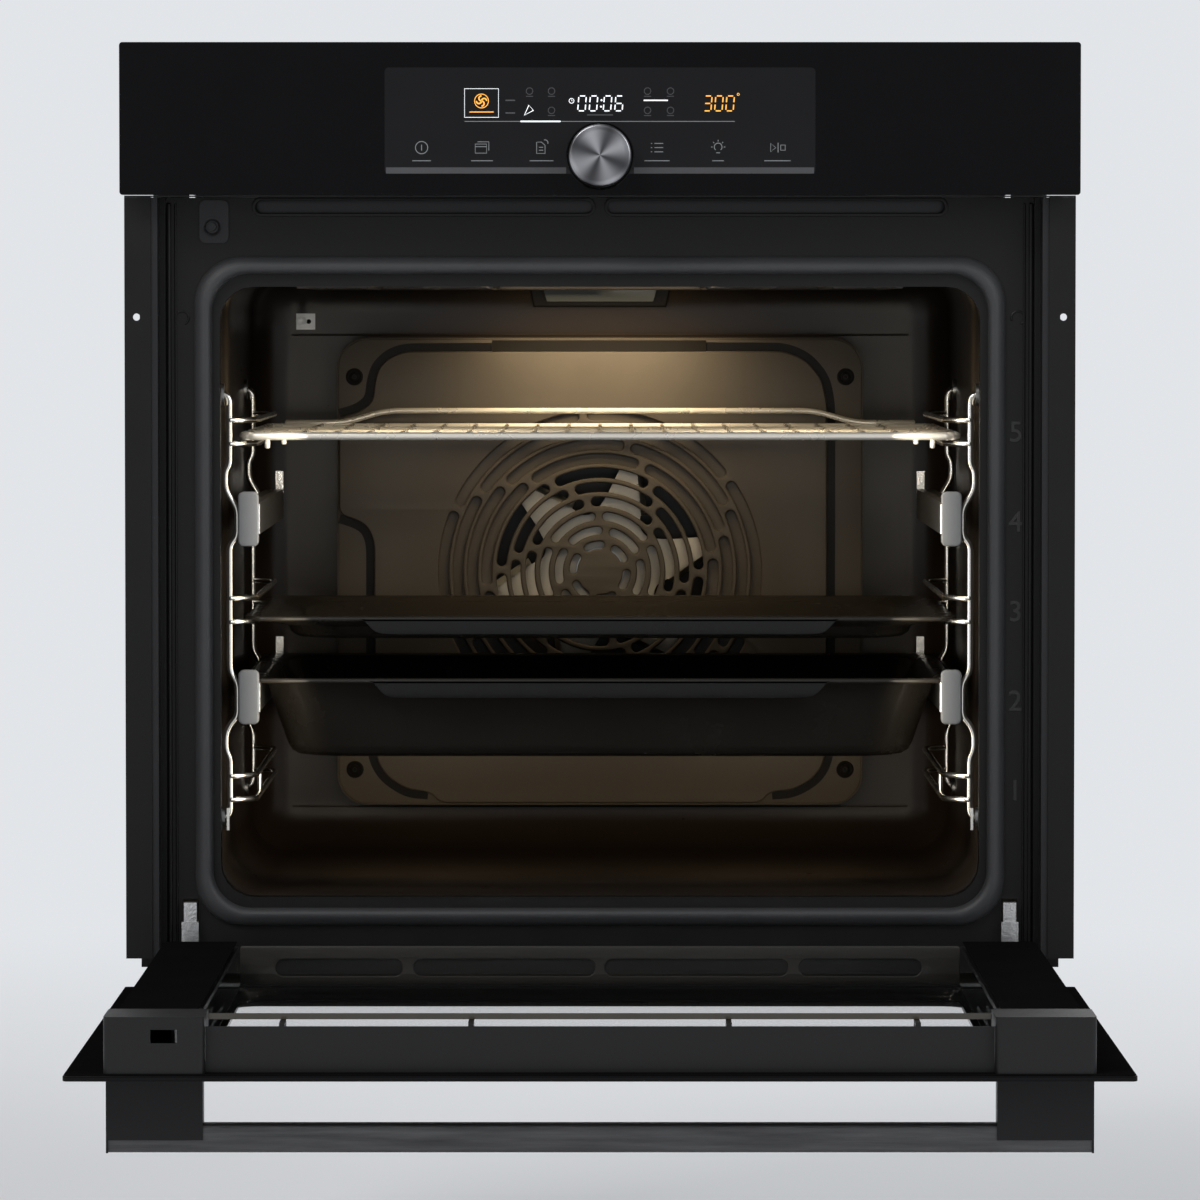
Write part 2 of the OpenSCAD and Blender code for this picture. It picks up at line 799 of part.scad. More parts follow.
base_panel();
side_panels();
top_panel();
back_panel();
front_frame();
side_trims();
cavity_liner();
insulation();
door_gasket();
fan_baffle();
baffle_screws();
ring_heater();
fan_motor();
grill_heater();
bottom_heater();
lamp_lens();
lamp_housing();
temperature_sensor();
side_rack_left();
side_rack_right();
rack_studs();
rail_bases();
control_glass();
control_carrier();
display_module();
encoder_body();
blower_housing();
blower_motor();
hinge_arms();
door_switch();
terminal_block();
fan_impeller();
fan_shaft();
blower_rotor();
encoder_plunger();
control_knob();
switch_plunger();
hinge_latch_left();
hinge_latch_right();
wire_shelf();
baking_tray();
deep_tray();
rail4_slide_left();
rail4_slide_right();
rail4_runner_left();
rail4_runner_right();
rail2_slides();
rail2_runners();
outer_glass();
middle_glasses();
inner_glass();
door_side_rails();
door_top_profile();
end_caps();
door_bottom_rail();
hinge_cases();
hinge_pins();
handle_bar();
handle_brackets();
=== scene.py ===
import math

import bpy
from mathutils import Matrix, Vector


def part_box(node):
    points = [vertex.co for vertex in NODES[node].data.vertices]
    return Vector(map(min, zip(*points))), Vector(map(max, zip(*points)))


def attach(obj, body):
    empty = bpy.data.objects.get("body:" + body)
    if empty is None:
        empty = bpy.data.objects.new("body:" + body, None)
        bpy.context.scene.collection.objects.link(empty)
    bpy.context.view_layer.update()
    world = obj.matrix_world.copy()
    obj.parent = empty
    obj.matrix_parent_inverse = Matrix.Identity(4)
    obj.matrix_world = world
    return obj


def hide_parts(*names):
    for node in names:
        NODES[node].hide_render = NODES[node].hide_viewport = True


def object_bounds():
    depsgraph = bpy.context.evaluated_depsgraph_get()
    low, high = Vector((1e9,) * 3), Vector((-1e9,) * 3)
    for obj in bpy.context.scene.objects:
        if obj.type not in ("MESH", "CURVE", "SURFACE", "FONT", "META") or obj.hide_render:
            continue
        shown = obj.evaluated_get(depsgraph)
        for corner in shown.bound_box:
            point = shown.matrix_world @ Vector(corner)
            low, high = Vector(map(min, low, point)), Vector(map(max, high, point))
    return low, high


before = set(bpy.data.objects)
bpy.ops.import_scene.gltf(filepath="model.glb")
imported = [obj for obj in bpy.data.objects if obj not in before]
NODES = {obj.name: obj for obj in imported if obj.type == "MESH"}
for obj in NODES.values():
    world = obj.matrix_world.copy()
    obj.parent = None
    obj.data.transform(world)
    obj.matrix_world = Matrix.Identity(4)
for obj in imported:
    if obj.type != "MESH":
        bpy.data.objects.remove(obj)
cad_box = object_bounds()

MM = 0.001
PALE = (0.76, 0.78, 0.81, 1)

# Places that come from the CAD frame, in metres
PANEL_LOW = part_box("control_glass")[0]
KNOB_LOW, KNOB_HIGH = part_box("control_knob")
LINER_LOW, LINER_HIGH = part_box("cavity_liner")
BAFFLE_LOW, BAFFLE_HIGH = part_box("fan_baffle")
FRAME_LOW, FRAME_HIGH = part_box("front_frame")
GASKET_LOW, GASKET_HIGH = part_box("door_gasket")
SHELF_LOW, SHELF_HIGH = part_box("wire_shelf")
RACK_LOW, RACK_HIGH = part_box("side_rack_right")
OUTER_LOW, OUTER_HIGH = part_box("outer_glass")
INNER_LOW, INNER_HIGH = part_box("inner_glass")
CAPS_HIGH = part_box("end_caps")[1]
RAIL_LOW, RAIL_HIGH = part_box("door_bottom_rail")
FAN_LOW, FAN_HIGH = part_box("fan_impeller")
LENS_LOW, LENS_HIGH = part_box("lamp_lens")
BASE_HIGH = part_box("base_panel")[1]
TOP_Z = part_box("top_panel")[1][2]
FAN_Z = (FAN_LOW[2] + FAN_HIGH[2]) / 2
KNOB_X = (KNOB_LOW[0] + KNOB_HIGH[0]) / 2
KNOB_Z = (KNOB_LOW[2] + KNOB_HIGH[2]) / 2

# Shelf levels, wires and pressed beads
LEVEL_1 = 0.1225
LEVEL_PITCH = 0.05625
PAIR_GAP = 0.015
WIRE = 0.004
BEAD_HALF = 0.009
BEAD_RISE = 0.0011
SIDES = ((-1, "left"), (1, "right"))


def level(n):
    """Height of a shelf level, midway between its two wires."""
    return LEVEL_1 + LEVEL_PITCH * (n - 1)


# ---------------- materials

MATERIAL, SLOT = {}, {}


def node_of(tree, kind, **inputs):
    """A shader node with constants set on its own sockets."""
    made = tree.nodes.new(kind)
    for key, value in inputs.items():
        made.inputs[key].default_value = value
    return made


def join(giver, out, taker, into):
    """Links one shader node's output to another's input."""
    giver.id_data.links.new(giver.outputs[out], taker.inputs[into])


def surface(name, slot, color, rough, metal=0.0, spread=0.12, scale=30.0, bump=0.0, grain=600.0,
            stretch=(1, 1, 1), specular=0.5, alpha=1.0, glow=None, anisotropy=0.0, speckle=0.0,
            spangle=0.0):
    """A Principled material whose colour and roughness vary over the surface; bump adds a fine grain,
    speckle pale flecks and spangle the patches of zinc."""
    made = bpy.data.materials.new(name)
    MATERIAL[name], SLOT[name] = made, slot
    made.use_nodes = True
    tree = made.node_tree
    shader = tree.nodes["Principled BSDF"]
    shader.inputs["Metallic"].default_value = metal
    shader.inputs["Specular IOR Level"].default_value = specular
    shader.inputs["IOR"].default_value = 1.5
    shader.inputs["Anisotropic"].default_value = anisotropy
    shader.inputs["Alpha"].default_value = alpha
    if glow:
        shader.inputs["Emission Color"].default_value = (*color, 1)
        shader.inputs["Emission Strength"].default_value = glow
    where = tree.nodes.new("ShaderNodeTexCoord")
    spaced = node_of(tree, "ShaderNodeMapping", Scale=stretch)
    join(where, "Object", spaced, "Vector")
    cloud = node_of(tree, "ShaderNodeTexNoise", Scale=scale, Detail=4.0, Roughness=0.6)
    join(spaced, "Vector", cloud, "Vector")
    tint = tree.nodes.new("ShaderNodeMix")
    tint.data_type = "RGBA"
    tint.inputs[6].default_value = (*(c * (1 - spread) for c in color), 1)
    tint.inputs[7].default_value = (*(min(1, c * (1 + spread)) for c in color), 1)
    if spangle:
        cells = node_of(tree, "ShaderNodeTexVoronoi", Scale=spangle)
        join(where, "Object", cells, "Vector")
        grey = tree.nodes.new("ShaderNodeSeparateColor")
        join(cells, "Color", grey, "Color")
        join(grey, "Red", tint, 0)
    else:
        join(cloud, "Fac", tint, 0)
    colour_out = tint.outputs[2]
    if speckle:
        dots = node_of(tree, "ShaderNodeTexVoronoi", Scale=700.0)
        join(where, "Object", dots, "Vector")
        near = node_of(tree, "ShaderNodeMapRange", **{"From Min": 0.0, "From Max": 0.22,
                                                     "To Min": speckle, "To Max": 0.0})
        join(dots, "Distance", near, "Value")
        flecks = tree.nodes.new("ShaderNodeMix")
        flecks.data_type = "RGBA"
        flecks.inputs[7].default_value = (0.35, 0.33, 0.3, 1)
        join(near, "Result", flecks, 0)
        tree.links.new(colour_out, flecks.inputs[6])
        colour_out = flecks.outputs[2]
    tree.links.new(colour_out, shader.inputs["Base Color"])
    polish = node_of(tree, "ShaderNodeMapRange",
                     **{"To Min": rough * 0.8, "To Max": min(1, rough * 1.2)})
    join(cloud, "Fac", polish, "Value")
    join(polish, "Result", shader, "Roughness")
    if bump:
        fine = node_of(tree, "ShaderNodeTexNoise", Scale=grain, Detail=3.0)
        join(spaced, "Vector", fine, "Vector")
        relief = node_of(tree, "ShaderNodeBump", Strength=bump, Distance=0.0004)
        join(fine, "Fac", relief, "Height")
        join(relief, "Normal", shader, "Normal")
    return made


def knob_metal():
    """Dark metal, turned on its face: fine rings, and a fan of light and dark sectors in its colour that are
    painted highlights.
    """
    made = surface("knob_metal", "knob_metal", (0.2, 0.2, 0.21), 0.3, metal=1.0, spread=0.1,
                   anisotropy=0.75)
    tree = made.node_tree
    shader = tree.nodes["Principled BSDF"]
    where = tree.nodes.new("ShaderNodeTexCoord")
    moved = node_of(tree, "ShaderNodeMapping", Location=(0, 0, -KNOB_Z))
    split = tree.nodes.new("ShaderNodeSeparateXYZ")
    around = tree.nodes.new("ShaderNodeMath")
    around.operation = "ARCTAN2"
    join(where, "Object", moved, "Vector")
    join(moved, "Vector", split, "Vector")
    join(split, "Z", around, 0)
    join(split, "X", around, 1)
    fan = tree.nodes.new("ShaderNodeMath")
    fan.operation = "MULTIPLY"
    fan.inputs[1].default_value = 4.0
    wave = tree.nodes.new("ShaderNodeMath")
    wave.operation = "SINE"
    join(around, "Value", fan, 0)
    join(fan, "Value", wave, 0)
    # Sectors from dark to light grey round the knob's middle: painted highlights of the turned metal.
    painted_highlight_sectors = tree.nodes.new("ShaderNodeValToRGB")
    painted_highlight_sectors.color_ramp.elements[0].color = (0.09, 0.09, 0.095, 1)
    painted_highlight_sectors.color_ramp.elements[1].color = (0.42, 0.42, 0.44, 1)
    shift = node_of(tree, "ShaderNodeMapRange", **{"From Min": -1.0, "From Max": 1.0})
    join(wave, "Value", shift, "Value")
    join(shift, "Result", painted_highlight_sectors, "Fac")
    join(painted_highlight_sectors, "Color", shader, "Base Color")
    turned = tree.nodes.new("ShaderNodeTangent")
    turned.direction_type = "RADIAL"
    turned.axis = "Y"
    join(turned, "Tangent", shader, "Tangent")


# Each look, with the part's own material that it shows: colour, roughness, then what is special
surface("galvanised", "galvanised_steel", (0.4, 0.41, 0.42), 0.42, metal=0.75, spread=0.13, scale=45,
        bump=0.1, spangle=95)
surface("frame", "frame_enamel", (0.0068, 0.0065, 0.0063), 0.42, spread=0.2, bump=0.12, grain=900,
        specular=0.26)
surface("cavity", "cavity_enamel", (0.0165, 0.012, 0.0088), 0.3, spread=0.15, bump=0.08, grain=350,
        specular=0.32, speckle=0.05)
surface("baffle", "cavity_enamel", (0.062, 0.053, 0.042), 0.36, spread=0.12, bump=0.08, grain=350,
        specular=0.35, speckle=0.06)
# Darkest copy of the cavity enamel: the dark enamel of the lamp surround and the screw bosses, and painted
# shade along the baffle's step and over its top slope.
surface("dark_enamel_and_painted_shade", "cavity_enamel", (0.0075, 0.0066, 0.0058), 0.45, spread=0.15, bump=0.08, grain=350,
        specular=0.2)
surface("wool", "insulation_wool", (0.62, 0.55, 0.38), 0.95, spread=0.3, scale=80, bump=1.0, grain=250)
surface("gasket", "gasket", (0.044, 0.045, 0.047), 0.46, spread=0.15, bump=0.5, grain=1400,
        specular=0.4)
surface("chrome", "chrome_wire", (0.93, 0.9, 0.83), 0.2, metal=1.0, spread=0.05, bump=0.05)
surface("shelf_wire", "chrome_wire", (0.93, 0.88, 0.78), 0.28, metal=0.55, spread=0.05, bump=0.05)
surface("steel", "steel", (0.55, 0.55, 0.54), 0.3, metal=1.0, spread=0.15, bump=0.1)
surface("bright_steel", "steel", (0.9, 0.9, 0.9), 0.24, metal=0.9, spread=0.2, scale=300, bump=0.3)
surface("heater", "heater", (0.1, 0.09, 0.085), 0.5, metal=0.6, spread=0.3, bump=0.2)
# Two copies of the runner steel: rail is darker, painted shade for the runners' sides, and rail_cap lighter,
# painted light on the caps that face the front.
surface("rail", "rail_steel", (0.12, 0.115, 0.108), 0.45, metal=0.4, spread=0.08, bump=0.06,
        stretch=(1, 0.05, 1))
surface("rail_cap", "rail_steel", (0.27, 0.275, 0.28), 0.45, metal=0.1, spread=0.06, bump=0.06)
surface("fan", "fan_steel", (0.66, 0.61, 0.52), 0.42, metal=0.35, spread=0.12, bump=0.2, grain=300)
surface("lens", "lamp_glass", (0.06, 0.062, 0.056), 0.25, spread=0.06, bump=0.3, grain=200, glow=0.3)
surface("black_glass", "black_glass", (0.0035, 0.0035, 0.004), 0.05, spread=0.2, specular=0.14)
surface("print", "black_glass", (0.0062, 0.006, 0.006), 0.3, spread=0.2, specular=0.0)
surface("clear", "clear_glass", (0.02, 0.022, 0.02), 0.03, spread=0.1, alpha=0.05, specular=0.4)
surface("edge", "clear_glass", (0.07, 0.06, 0.045), 0.1, spread=0.3, specular=0.5)
surface("plastic", "black_plastic", (0.012, 0.012, 0.013), 0.36, spread=0.15, bump=0.15, grain=1600,
        specular=0.4)
surface("profile", "door_profile", (0.009, 0.0088, 0.009), 0.42, spread=0.12, bump=0.12, grain=1800,
        specular=0.36)
# plate: the sensor plate's light grey, with a glow that is painted light, the plate being no lamp.
surface("plate", "steel", (0.55, 0.55, 0.53), 0.5, spread=0.08, glow=0.16)
surface("rail_face", "door_profile", (0.034, 0.032, 0.029), 0.4, spread=0.12, bump=0.12, grain=900,
        specular=0.4)
surface("bracket", "door_profile", (0.0065, 0.0065, 0.007), 0.42, spread=0.12, bump=0.12, grain=1800,
        specular=0.3)
surface("board", "circuit_board", (0.02, 0.12, 0.05), 0.4, spread=0.3)
surface("brushed", "knob_metal", (0.095, 0.095, 0.098), 0.38, metal=0.7, spread=0.75, scale=260,
        stretch=(0.06, 1, 1), bump=0.6, grain=1500, anisotropy=0.4)
surface("tray", "tray_enamel", (0.0055, 0.0053, 0.0052), 0.26, spread=0.2, bump=0.06, grain=300,
        specular=0.3, speckle=0.02)
# The pan bodies take a lighter, browner copy of the tray enamel: painted warm lamp light. The lips keep the
# enamel's own black.
surface("tray_painted_lamp_light", "tray_enamel", (0.021, 0.018, 0.0145), 0.26, spread=0.15, bump=0.06, grain=300,
        specular=0.35, speckle=0.02)
surface("white", None, (0.85, 0.87, 0.9), 0.5, spread=0.03, glow=0.75)
surface("dim", None, (0.22, 0.23, 0.24), 0.5, spread=0.05, glow=0.25)
surface("faint", None, (0.07, 0.07, 0.075), 0.5, spread=0.05, glow=0.2)
surface("orange", None, (0.95, 0.42, 0.06), 0.5, spread=0.03, glow=0.8)
surface("display", "black_glass", (0.0105, 0.0105, 0.0115), 0.12, spread=0.1, specular=0.2)
surface("silver", "black_glass", (0.085, 0.085, 0.09), 0.35, metal=0.4, spread=0.3, scale=12)
# numeral: a lighter copy of the frame enamel for the pressed shelf numbers, painted highlight on their
# raised faces.
surface("numeral", "frame_enamel", (0.027, 0.027, 0.027), 0.5, spread=0.1, specular=0.35)
surface("dark", "black_plastic", (0.002, 0.002, 0.002), 0.8, spread=0.2, specular=0.1)
knob_metal()


# ---------------- mesh tools

def finish_piece(piece, material, body, stands_for=(), crease=35):
    """Links a piece, shades it, gives it its material and lets it ride on its body."""
    bpy.context.scene.collection.objects.link(piece)
    mesh = piece.data
    mesh.polygons.foreach_set("use_smooth", [True] * len(mesh.polygons))
    mesh.set_sharp_from_angle(angle=math.radians(crease))
    mesh.materials.clear()
    mesh.materials.append(MATERIAL[material])
    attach(piece, body)
    if stands_for:
        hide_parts(*stands_for)
    return piece


def mesh_piece(name, points, faces, material, body, stands_for=(), crease=35):
    """A piece made from its points and faces."""
    mesh = bpy.data.meshes.new(name)
    mesh.from_pydata([tuple(p) for p in points], [], faces)
    mesh.validate()
    piece = bpy.data.objects.new(name, mesh)
    return finish_piece(piece, material, body, stands_for, crease)


def rounded(x0, x1, z0, z1, r, n=8):
    """A rounded rectangle's points, counter-clockwise from the right side."""
    points = []
    corners = ((x1 - r, z1 - r, 0), (x0 + r, z1 - r, 90), (x0 + r, z0 + r, 180), (x1 - r, z0 + r, 270))
    for cx, cz, start in corners:
        for i in range(n + 1):
            turn = math.radians(start + 90 * i / n)
            points.append((cx + r * math.cos(turn), cz + r * math.sin(turn)))
    return points


def arc(cx, cz, r, start, end, n=12):
    """Points along an arc, in degrees."""
    turns = [math.radians(start + (end - start) * i / n) for i in range(n + 1)]
    return [(cx + r * math.cos(t), cz + r * math.sin(t)) for t in turns]


def softened(points, r, n=5, closed=False):
    """A path in 3-D with each corner rounded off over a length r."""
    points = [Vector(p) for p in points]
    count = len(points)
    out = []
    for i, here in enumerate(points):
        if not closed and i in (0, count - 1):
            out.append(here)
            continue
        back = points[i - 1] - here
        ahead = points[(i + 1) % count] - here
        a = here + back.normalized() * min(r, back.length * 0.45)
        b = here + ahead.normalized() * min(r, ahead.length * 0.45)
        for k in range(n + 1):
            t = k / n
            out.append(a * (1 - t) ** 2 + here * 2 * t * (1 - t) + b * t ** 2)
    return out


def eased(points, r, n=5, closed=False):
    """A flat path in X and Z with its corners rounded off."""
    return [(p.x, p.z) for p in softened([(x, 0, z) for x, z in points], r, n, closed)]


def at_depth(points, y):
    """A flat path's points, placed at a depth."""
    return [Vector((x, y, z)) for x, z in points]


def turned(x, z, stations, sides):
    """The rings of a turned shape, from the radius and depth of each station on its axis."""
    turns = [2 * math.pi * k / sides for k in range(sides)]
    return [[Vector((x + r * math.cos(t), y, z + r * math.sin(t))) for t in turns] for r, y in stations]


def thicken(piece, thickness, offset):
    """Gives a bent sheet its thickness."""
    thick = piece.modifiers.new("thickness", "SOLIDIFY")
    thick.thickness = thickness
    thick.offset = offset


def mesh_of(drawn):
    """The mesh that a drawn outline or text makes. The drawing itself is removed."""
    outline = drawn.data
    bpy.context.scene.collection.objects.link(drawn)
    bpy.context.view_layer.update()
    mesh = bpy.data.meshes.new_from_object(drawn.evaluated_get(bpy.context.evaluated_depsgraph_get()))
    bpy.data.objects.remove(drawn)
    bpy.data.curves.remove(outline)
    return mesh


class Soup:
    """Collects the points and faces of one piece made of several parts."""

    def __init__(self):
        self.points = []
        self.faces = []

    def rings(self, rings, closed=False, cap_start=True, cap_end=True):
        """Joins rings that have the same number of points."""
        base = len(self.points)
        size = len(rings[0])
        for ring in rings:
            self.points.extend(ring)
        last = len(rings) if closed else len(rings) - 1
        for i in range(last):
            here = base + i * size
            after = base + ((i + 1) % len(rings)) * size
            for k in range(size):
                j = (k + 1) % size
                self.faces.append((here + k, here + j, after + j, after + k))
        if not closed and cap_start:
            self.faces.append(tuple(base + k for k in reversed(range(size))))
        if not closed and cap_end:
            self.faces.append(tuple(base + (len(rings) - 1) * size + k for k in range(size)))

    def tube(self, path, radius, sides=10, closed=False):
        """A round wire along a path, with slightly rounded ends."""
        path = [Vector(p) for p in path]
        count = len(path)
        along = []
        for i in range(count):
            if closed:
                step = path[(i + 1) % count] - path[i - 1]
            else:
                step = path[min(i + 1, count - 1)] - path[max(i - 1, 0)]
            along.append(step.normalized())
        side = along[0].orthogonal().normalized()
        rings = []
        for i in range(count):
            if i:
                side = along[i - 1].rotation_difference(along[i]) @ side
            up = along[i].cross(side)
            turns = [2 * math.pi * k / sides for k in range(sides)]
            rings.append([path[i] + radius * (side * math.cos(t) + up * math.sin(t)) for t in turns])
        if not closed:
            for end, sign, spot in ((0, -1, 0), (count - 1, 1, len(rings) + 1)):
                tip = [path[end] + (p - path[end]) * 0.6 + along[end] * sign * radius * 0.45
                       for p in rings[0 if end == 0 else -1]]
                rings.insert(spot, tip)
        self.rings(rings, closed)

    def box(self, low, high):
        """A plain block between two corners."""
        base = len(self.points)
        for z in (low[2], high[2]):
            for y in (low[1], high[1]):
                for x in (low[0], high[0]):
                    self.points.append(Vector((x, y, z)))
        quads = ((0, 2, 3, 1), (4, 5, 7, 6), (0, 1, 5, 4), (2, 6, 7, 3), (0, 4, 6, 2), (1, 3, 7, 5))
        for quad in quads:
            self.faces.append(tuple(base + k for k in quad))

    def piece(self, name, material, body, stands_for=(), crease=35):
        """Turns everything collected into one piece."""
        return mesh_piece(name, self.points, self.faces, material, body, stands_for, crease)


FACING = {
    "front": Matrix(((1, 0, 0, 0), (0, 0, -1, 0), (0, 1, 0, 0), (0, 0, 0, 1))),
    "up": Matrix.Identity(4),
    "side": Matrix(((0, 0, 1, 0), (1, 0, 0, 0), (0, 1, 0, 0), (0, 0, 0, 1))),
}


def stamped(name, loops, low, high, bevel, material, body, facing="front", stands_for=(), crease=40,
            fine=2):
    """A plate cut from an outline and its holes, with rounded edges. It fills low to high: along Y
    when it faces the front, along Z when it faces up, along X when it faces the side."""
    outline = bpy.data.curves.new(name, "CURVE")
    outline.dimensions = "2D"
    outline.fill_mode = "BOTH"
    outline.extrude = (high - low) / 2 - bevel
    outline.bevel_depth = bevel
    outline.bevel_resolution = fine
    outline.offset = -bevel
    for loop in loops:
        spline = outline.splines.new("POLY")
        spline.points.add(len(loop) - 1)
        for spot, (x, z) in zip(spline.points, loop):
            spot.co = (x, z, 0, 1)
        spline.use_cyclic_u = True
    mesh = mesh_of(bpy.data.objects.new(name + "_outline", outline))
    mesh.name = name
    middle = (low + high) / 2
    shift = {"front": (0, middle, 0), "up": (0, 0, middle), "side": (middle, 0, 0)}[facing]
    mesh.transform(Matrix.Translation(shift) @ FACING[facing])
    piece = bpy.data.objects.new(name, mesh)
    weld = piece.modifiers.new("weld", "WELD")
    weld.merge_threshold = 0.00001
    return finish_piece(piece, material, body, stands_for, crease)


def add_bevel(node, width, segments=2):
    """Softens a CAD node's edges without changing its mesh."""
    bevel = NODES[node].modifiers.new("bevel", "BEVEL")
    bevel.width = width
    bevel.segments = segments
    bevel.limit_method = "ANGLE"
    bevel.angle_limit = math.radians(40)
    bevel.harden_normals = False


def paint(material, *nodes):
    """Gives CAD nodes a detailed material."""
    for name in nodes:
        mesh = NODES[name].data
        mesh.materials.clear()
        mesh.materials.append(MATERIAL[material])


# ---------------- chassis and front frame

def make_chassis():
    """Looks of the parts that keep their CAD shape, and the screws of the chassis."""
    paint("galvanised", "base_panel", "side_panels", "top_panel", "back_panel", "blower_housing",
          "lamp_housing")
    paint("wool", "insulation")
    paint("steel", "fan_motor", "blower_motor", "fan_shaft", "baffle_screws", "hinge_cases",
          "hinge_pins", "encoder_plunger")
    paint("heater", "ring_heater", "grill_heater", "bottom_heater")
    paint("fan", "blower_rotor")
    paint("plastic", "terminal_block", "encoder_body", "control_carrier", "switch_plunger")
    paint("board", "display_module")
    paint("frame", "front_frame", "side_trims")
    add_bevel("terminal_block", 0.0015, 3)
    add_bevel("side_trims", 0.0004)
    screws = Soup()
    back = BASE_HIGH[1] + MM
    for x in (-0.262, -0.09, 0.09, 0.262):
        for z in (0.014, 0.3, 0.563):
            screw_head(screws, (x, back, z), 0.0042, (0, 1, 0))
    for side in (-1, 1):
        for y in (0.05, 0.28, 0.51):
            for z in (0.012, 0.565):
                screw_head(screws, (side * (BASE_HIGH[0] + MM), y, z), 0.0035, (side, 0, 0))
    screws.piece("chassis_screws", "steel", "root")
    make_pressings()


def make_pressings():
    """Stiffening beads and folded seams pressed in the chassis panels."""
    sunk = 0.0002
    out = BASE_HIGH[0] + MM
    back = BASE_HIGH[1] + MM
    for side, name in SIDES:
        a, b = sorted((side * (out - sunk), side * (out + BEAD_RISE)))
        for i, z in enumerate((0.17, 0.27, 0.37)):
            bead = rounded(0.07, 0.5, z - BEAD_HALF, z + BEAD_HALF, BEAD_HALF)
            stamped(f"side_bead_{name}_{i}", [bead], a, b, 0.0005, "galvanised", "root", facing="side",
                    fine=3)
        seam = rounded(0.03, 0.5385, 0.556, 0.57, 0.002)
        stamped(f"side_seam_{name}", [seam], a, b, 0.0004, "galvanised", "root", facing="side")
    rim = rounded(-0.235, 0.235, 0.06, 0.455, 0.03, 10)
    hole = rounded(-0.222, 0.222, 0.073, 0.442, 0.02, 10)
    stamped("back_bead", [rim, hole], back - sunk, back + BEAD_RISE, 0.0005, "galvanised", "root", fine=3)
    for i, x in enumerate((-0.15, 0.0, 0.15)):
        bead = rounded(x - BEAD_HALF, x + BEAD_HALF, 0.17, 0.5, BEAD_HALF)
        stamped(f"top_bead_{i}", [bead], TOP_Z - sunk, TOP_Z + BEAD_RISE, 0.0005, "galvanised", "root",
                facing="up", fine=3)
    make_terminal_cover()


def make_terminal_cover():
    """Two cover screws and five upright ribs on the terminal box."""
    low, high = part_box("terminal_block")
    cover = Soup()
    for x in (low[0] + 0.007, high[0] - 0.007):
        screw_head(cover, (x, high[1] - 0.001, low[2] + 0.008), 0.0026, (0, 1, 0))
    for i in range(5):
        x = (low[0] + high[0]) / 2 + (i - 2) * 0.006
        cover.box((x - 0.0012, high[1] - 0.0012, low[2] + 0.016),
                  (x + 0.0012, high[1] - 0.00002, high[2] - 0.01))
    cover.piece("terminal_cover_ribs", "plastic", "root")


def screw_head(soup, middle, radius, outward):
    """A domed pan head that stands out of a panel."""
    outward = Vector(outward)
    side = outward.orthogonal().normalized()
    up = outward.cross(side)
    rings = []
    turns = [2 * math.pi * k / 16 for k in range(16)]
    for scale, rise in ((1.0, -0.0002), (1.0, 0.0004), (0.8, 0.0009), (0.45, 0.001), (0.4, 0.0005)):
        rings.append([Vector(middle) + outward * rise * 0.9
                      + radius * scale * (side * math.cos(t) + up * math.sin(t)) for t in turns])
    soup.rings(rings, cap_start=False)


def make_front_details():
    """Beads, slot rims and shelf numbers pressed in the front frame, and the door switch."""
    face = FRAME_LOW[1]
    beads = Soup()
    foot, head = FRAME_LOW[2] + 0.012, FRAME_HIGH[2] - 0.004
    hook_x, hook_z = 0.2616, 0.4194
    for side in (-1, 1):
        for half, width in ((0.2698, 0.0016), (0.2655, 0.0008)):
            beads.tube([(side * half, face - 0.0002, z) for z in (foot, head)], width, sides=12)
        hook = arc(0, 0, 0.0042, -60, 200, 20)
        ring = [(side * hook_x + x, face - 0.0001, hook_z + z) for x, z in hook]
        beads.tube(ring, 0.0007, sides=8)
    beads.piece("frame_beads", "frame", "root")
    for side, name in SIDES:
        x0, x1 = sorted((side * 0.005, side * 0.2155))
        rim = [rounded(x0 - 0.0022, x1 + 0.0022, 0.4828, 0.4952, 0.0061),
               rounded(x0, x1, 0.485, 0.493, 0.0039)]
        stamped(f"air_slot_rim_{name}", rim, face - 0.0012, face + 0.0002, 0.0005, "frame", "root")
    for n in range(1, 6):
        numeral(str(n), 0.2605, level(n), 0.0135, face)
    make_gap_covers(face)
    paint("plastic", "door_switch")
    add_bevel("door_switch", 0.0005)
    bezel = Soup()
    stations = ((0.0062, face - 0.0017), (0.0062, face - 0.0023), (0.0048, face - 0.0021),
                (0.003, face - 0.0008), (0.003, face - 0.0002))
    bezel.rings(turned(-0.2425, 0.4763, stations, 24), cap_start=False, cap_end=False)
    bezel.piece("switch_bezel", "plastic", "root")


def make_gap_covers(face):
    """Dark strips that close the narrow gaps behind the slots, under the panel and beside the trims."""
    low, high = 0.001, 0.4944
    stamped("slot_shade", [rounded(-0.225, 0.225, 0.478, 0.4945, 0.004)], face + 0.003, face + 0.0036,
            0.0001, "plastic", "root")
    filler = Soup()
    filler.box((-0.296, -0.0008, 0.49465), (0.296, 0.0007, 0.49555))
    filler.piece("panel_gap_filler", "plastic", "root")
    for side, name in SIDES:
        x0, x1 = sorted((side * 0.2718, side * 0.288))
        middle = (x0 + x1) / 2
        channel = Soup()
        channel.box((x0, face - 0.0012, 0.012), (x1, face - 0.0004, high))
        channel.tube([(middle, face - 0.0011, 0.02), (middle, face - 0.0011, 0.49)], 0.0012)
        channel.piece(f"trim_channel_{name}", "frame", "root")
    for side, name in SIDES:
        guard = Soup()
        for width, y0, y1 in ((0.0041, -0.0002, 0.0008), (0.0013, 0.0006, face - 0.0014)):
            x0, x1 = sorted((side * 0.2755, side * (0.2755 + width)))
            guard.box((x0, y0, low), (x1, y1, high))
        guard.piece(f"edge_guard_{name}", "plastic", "root")


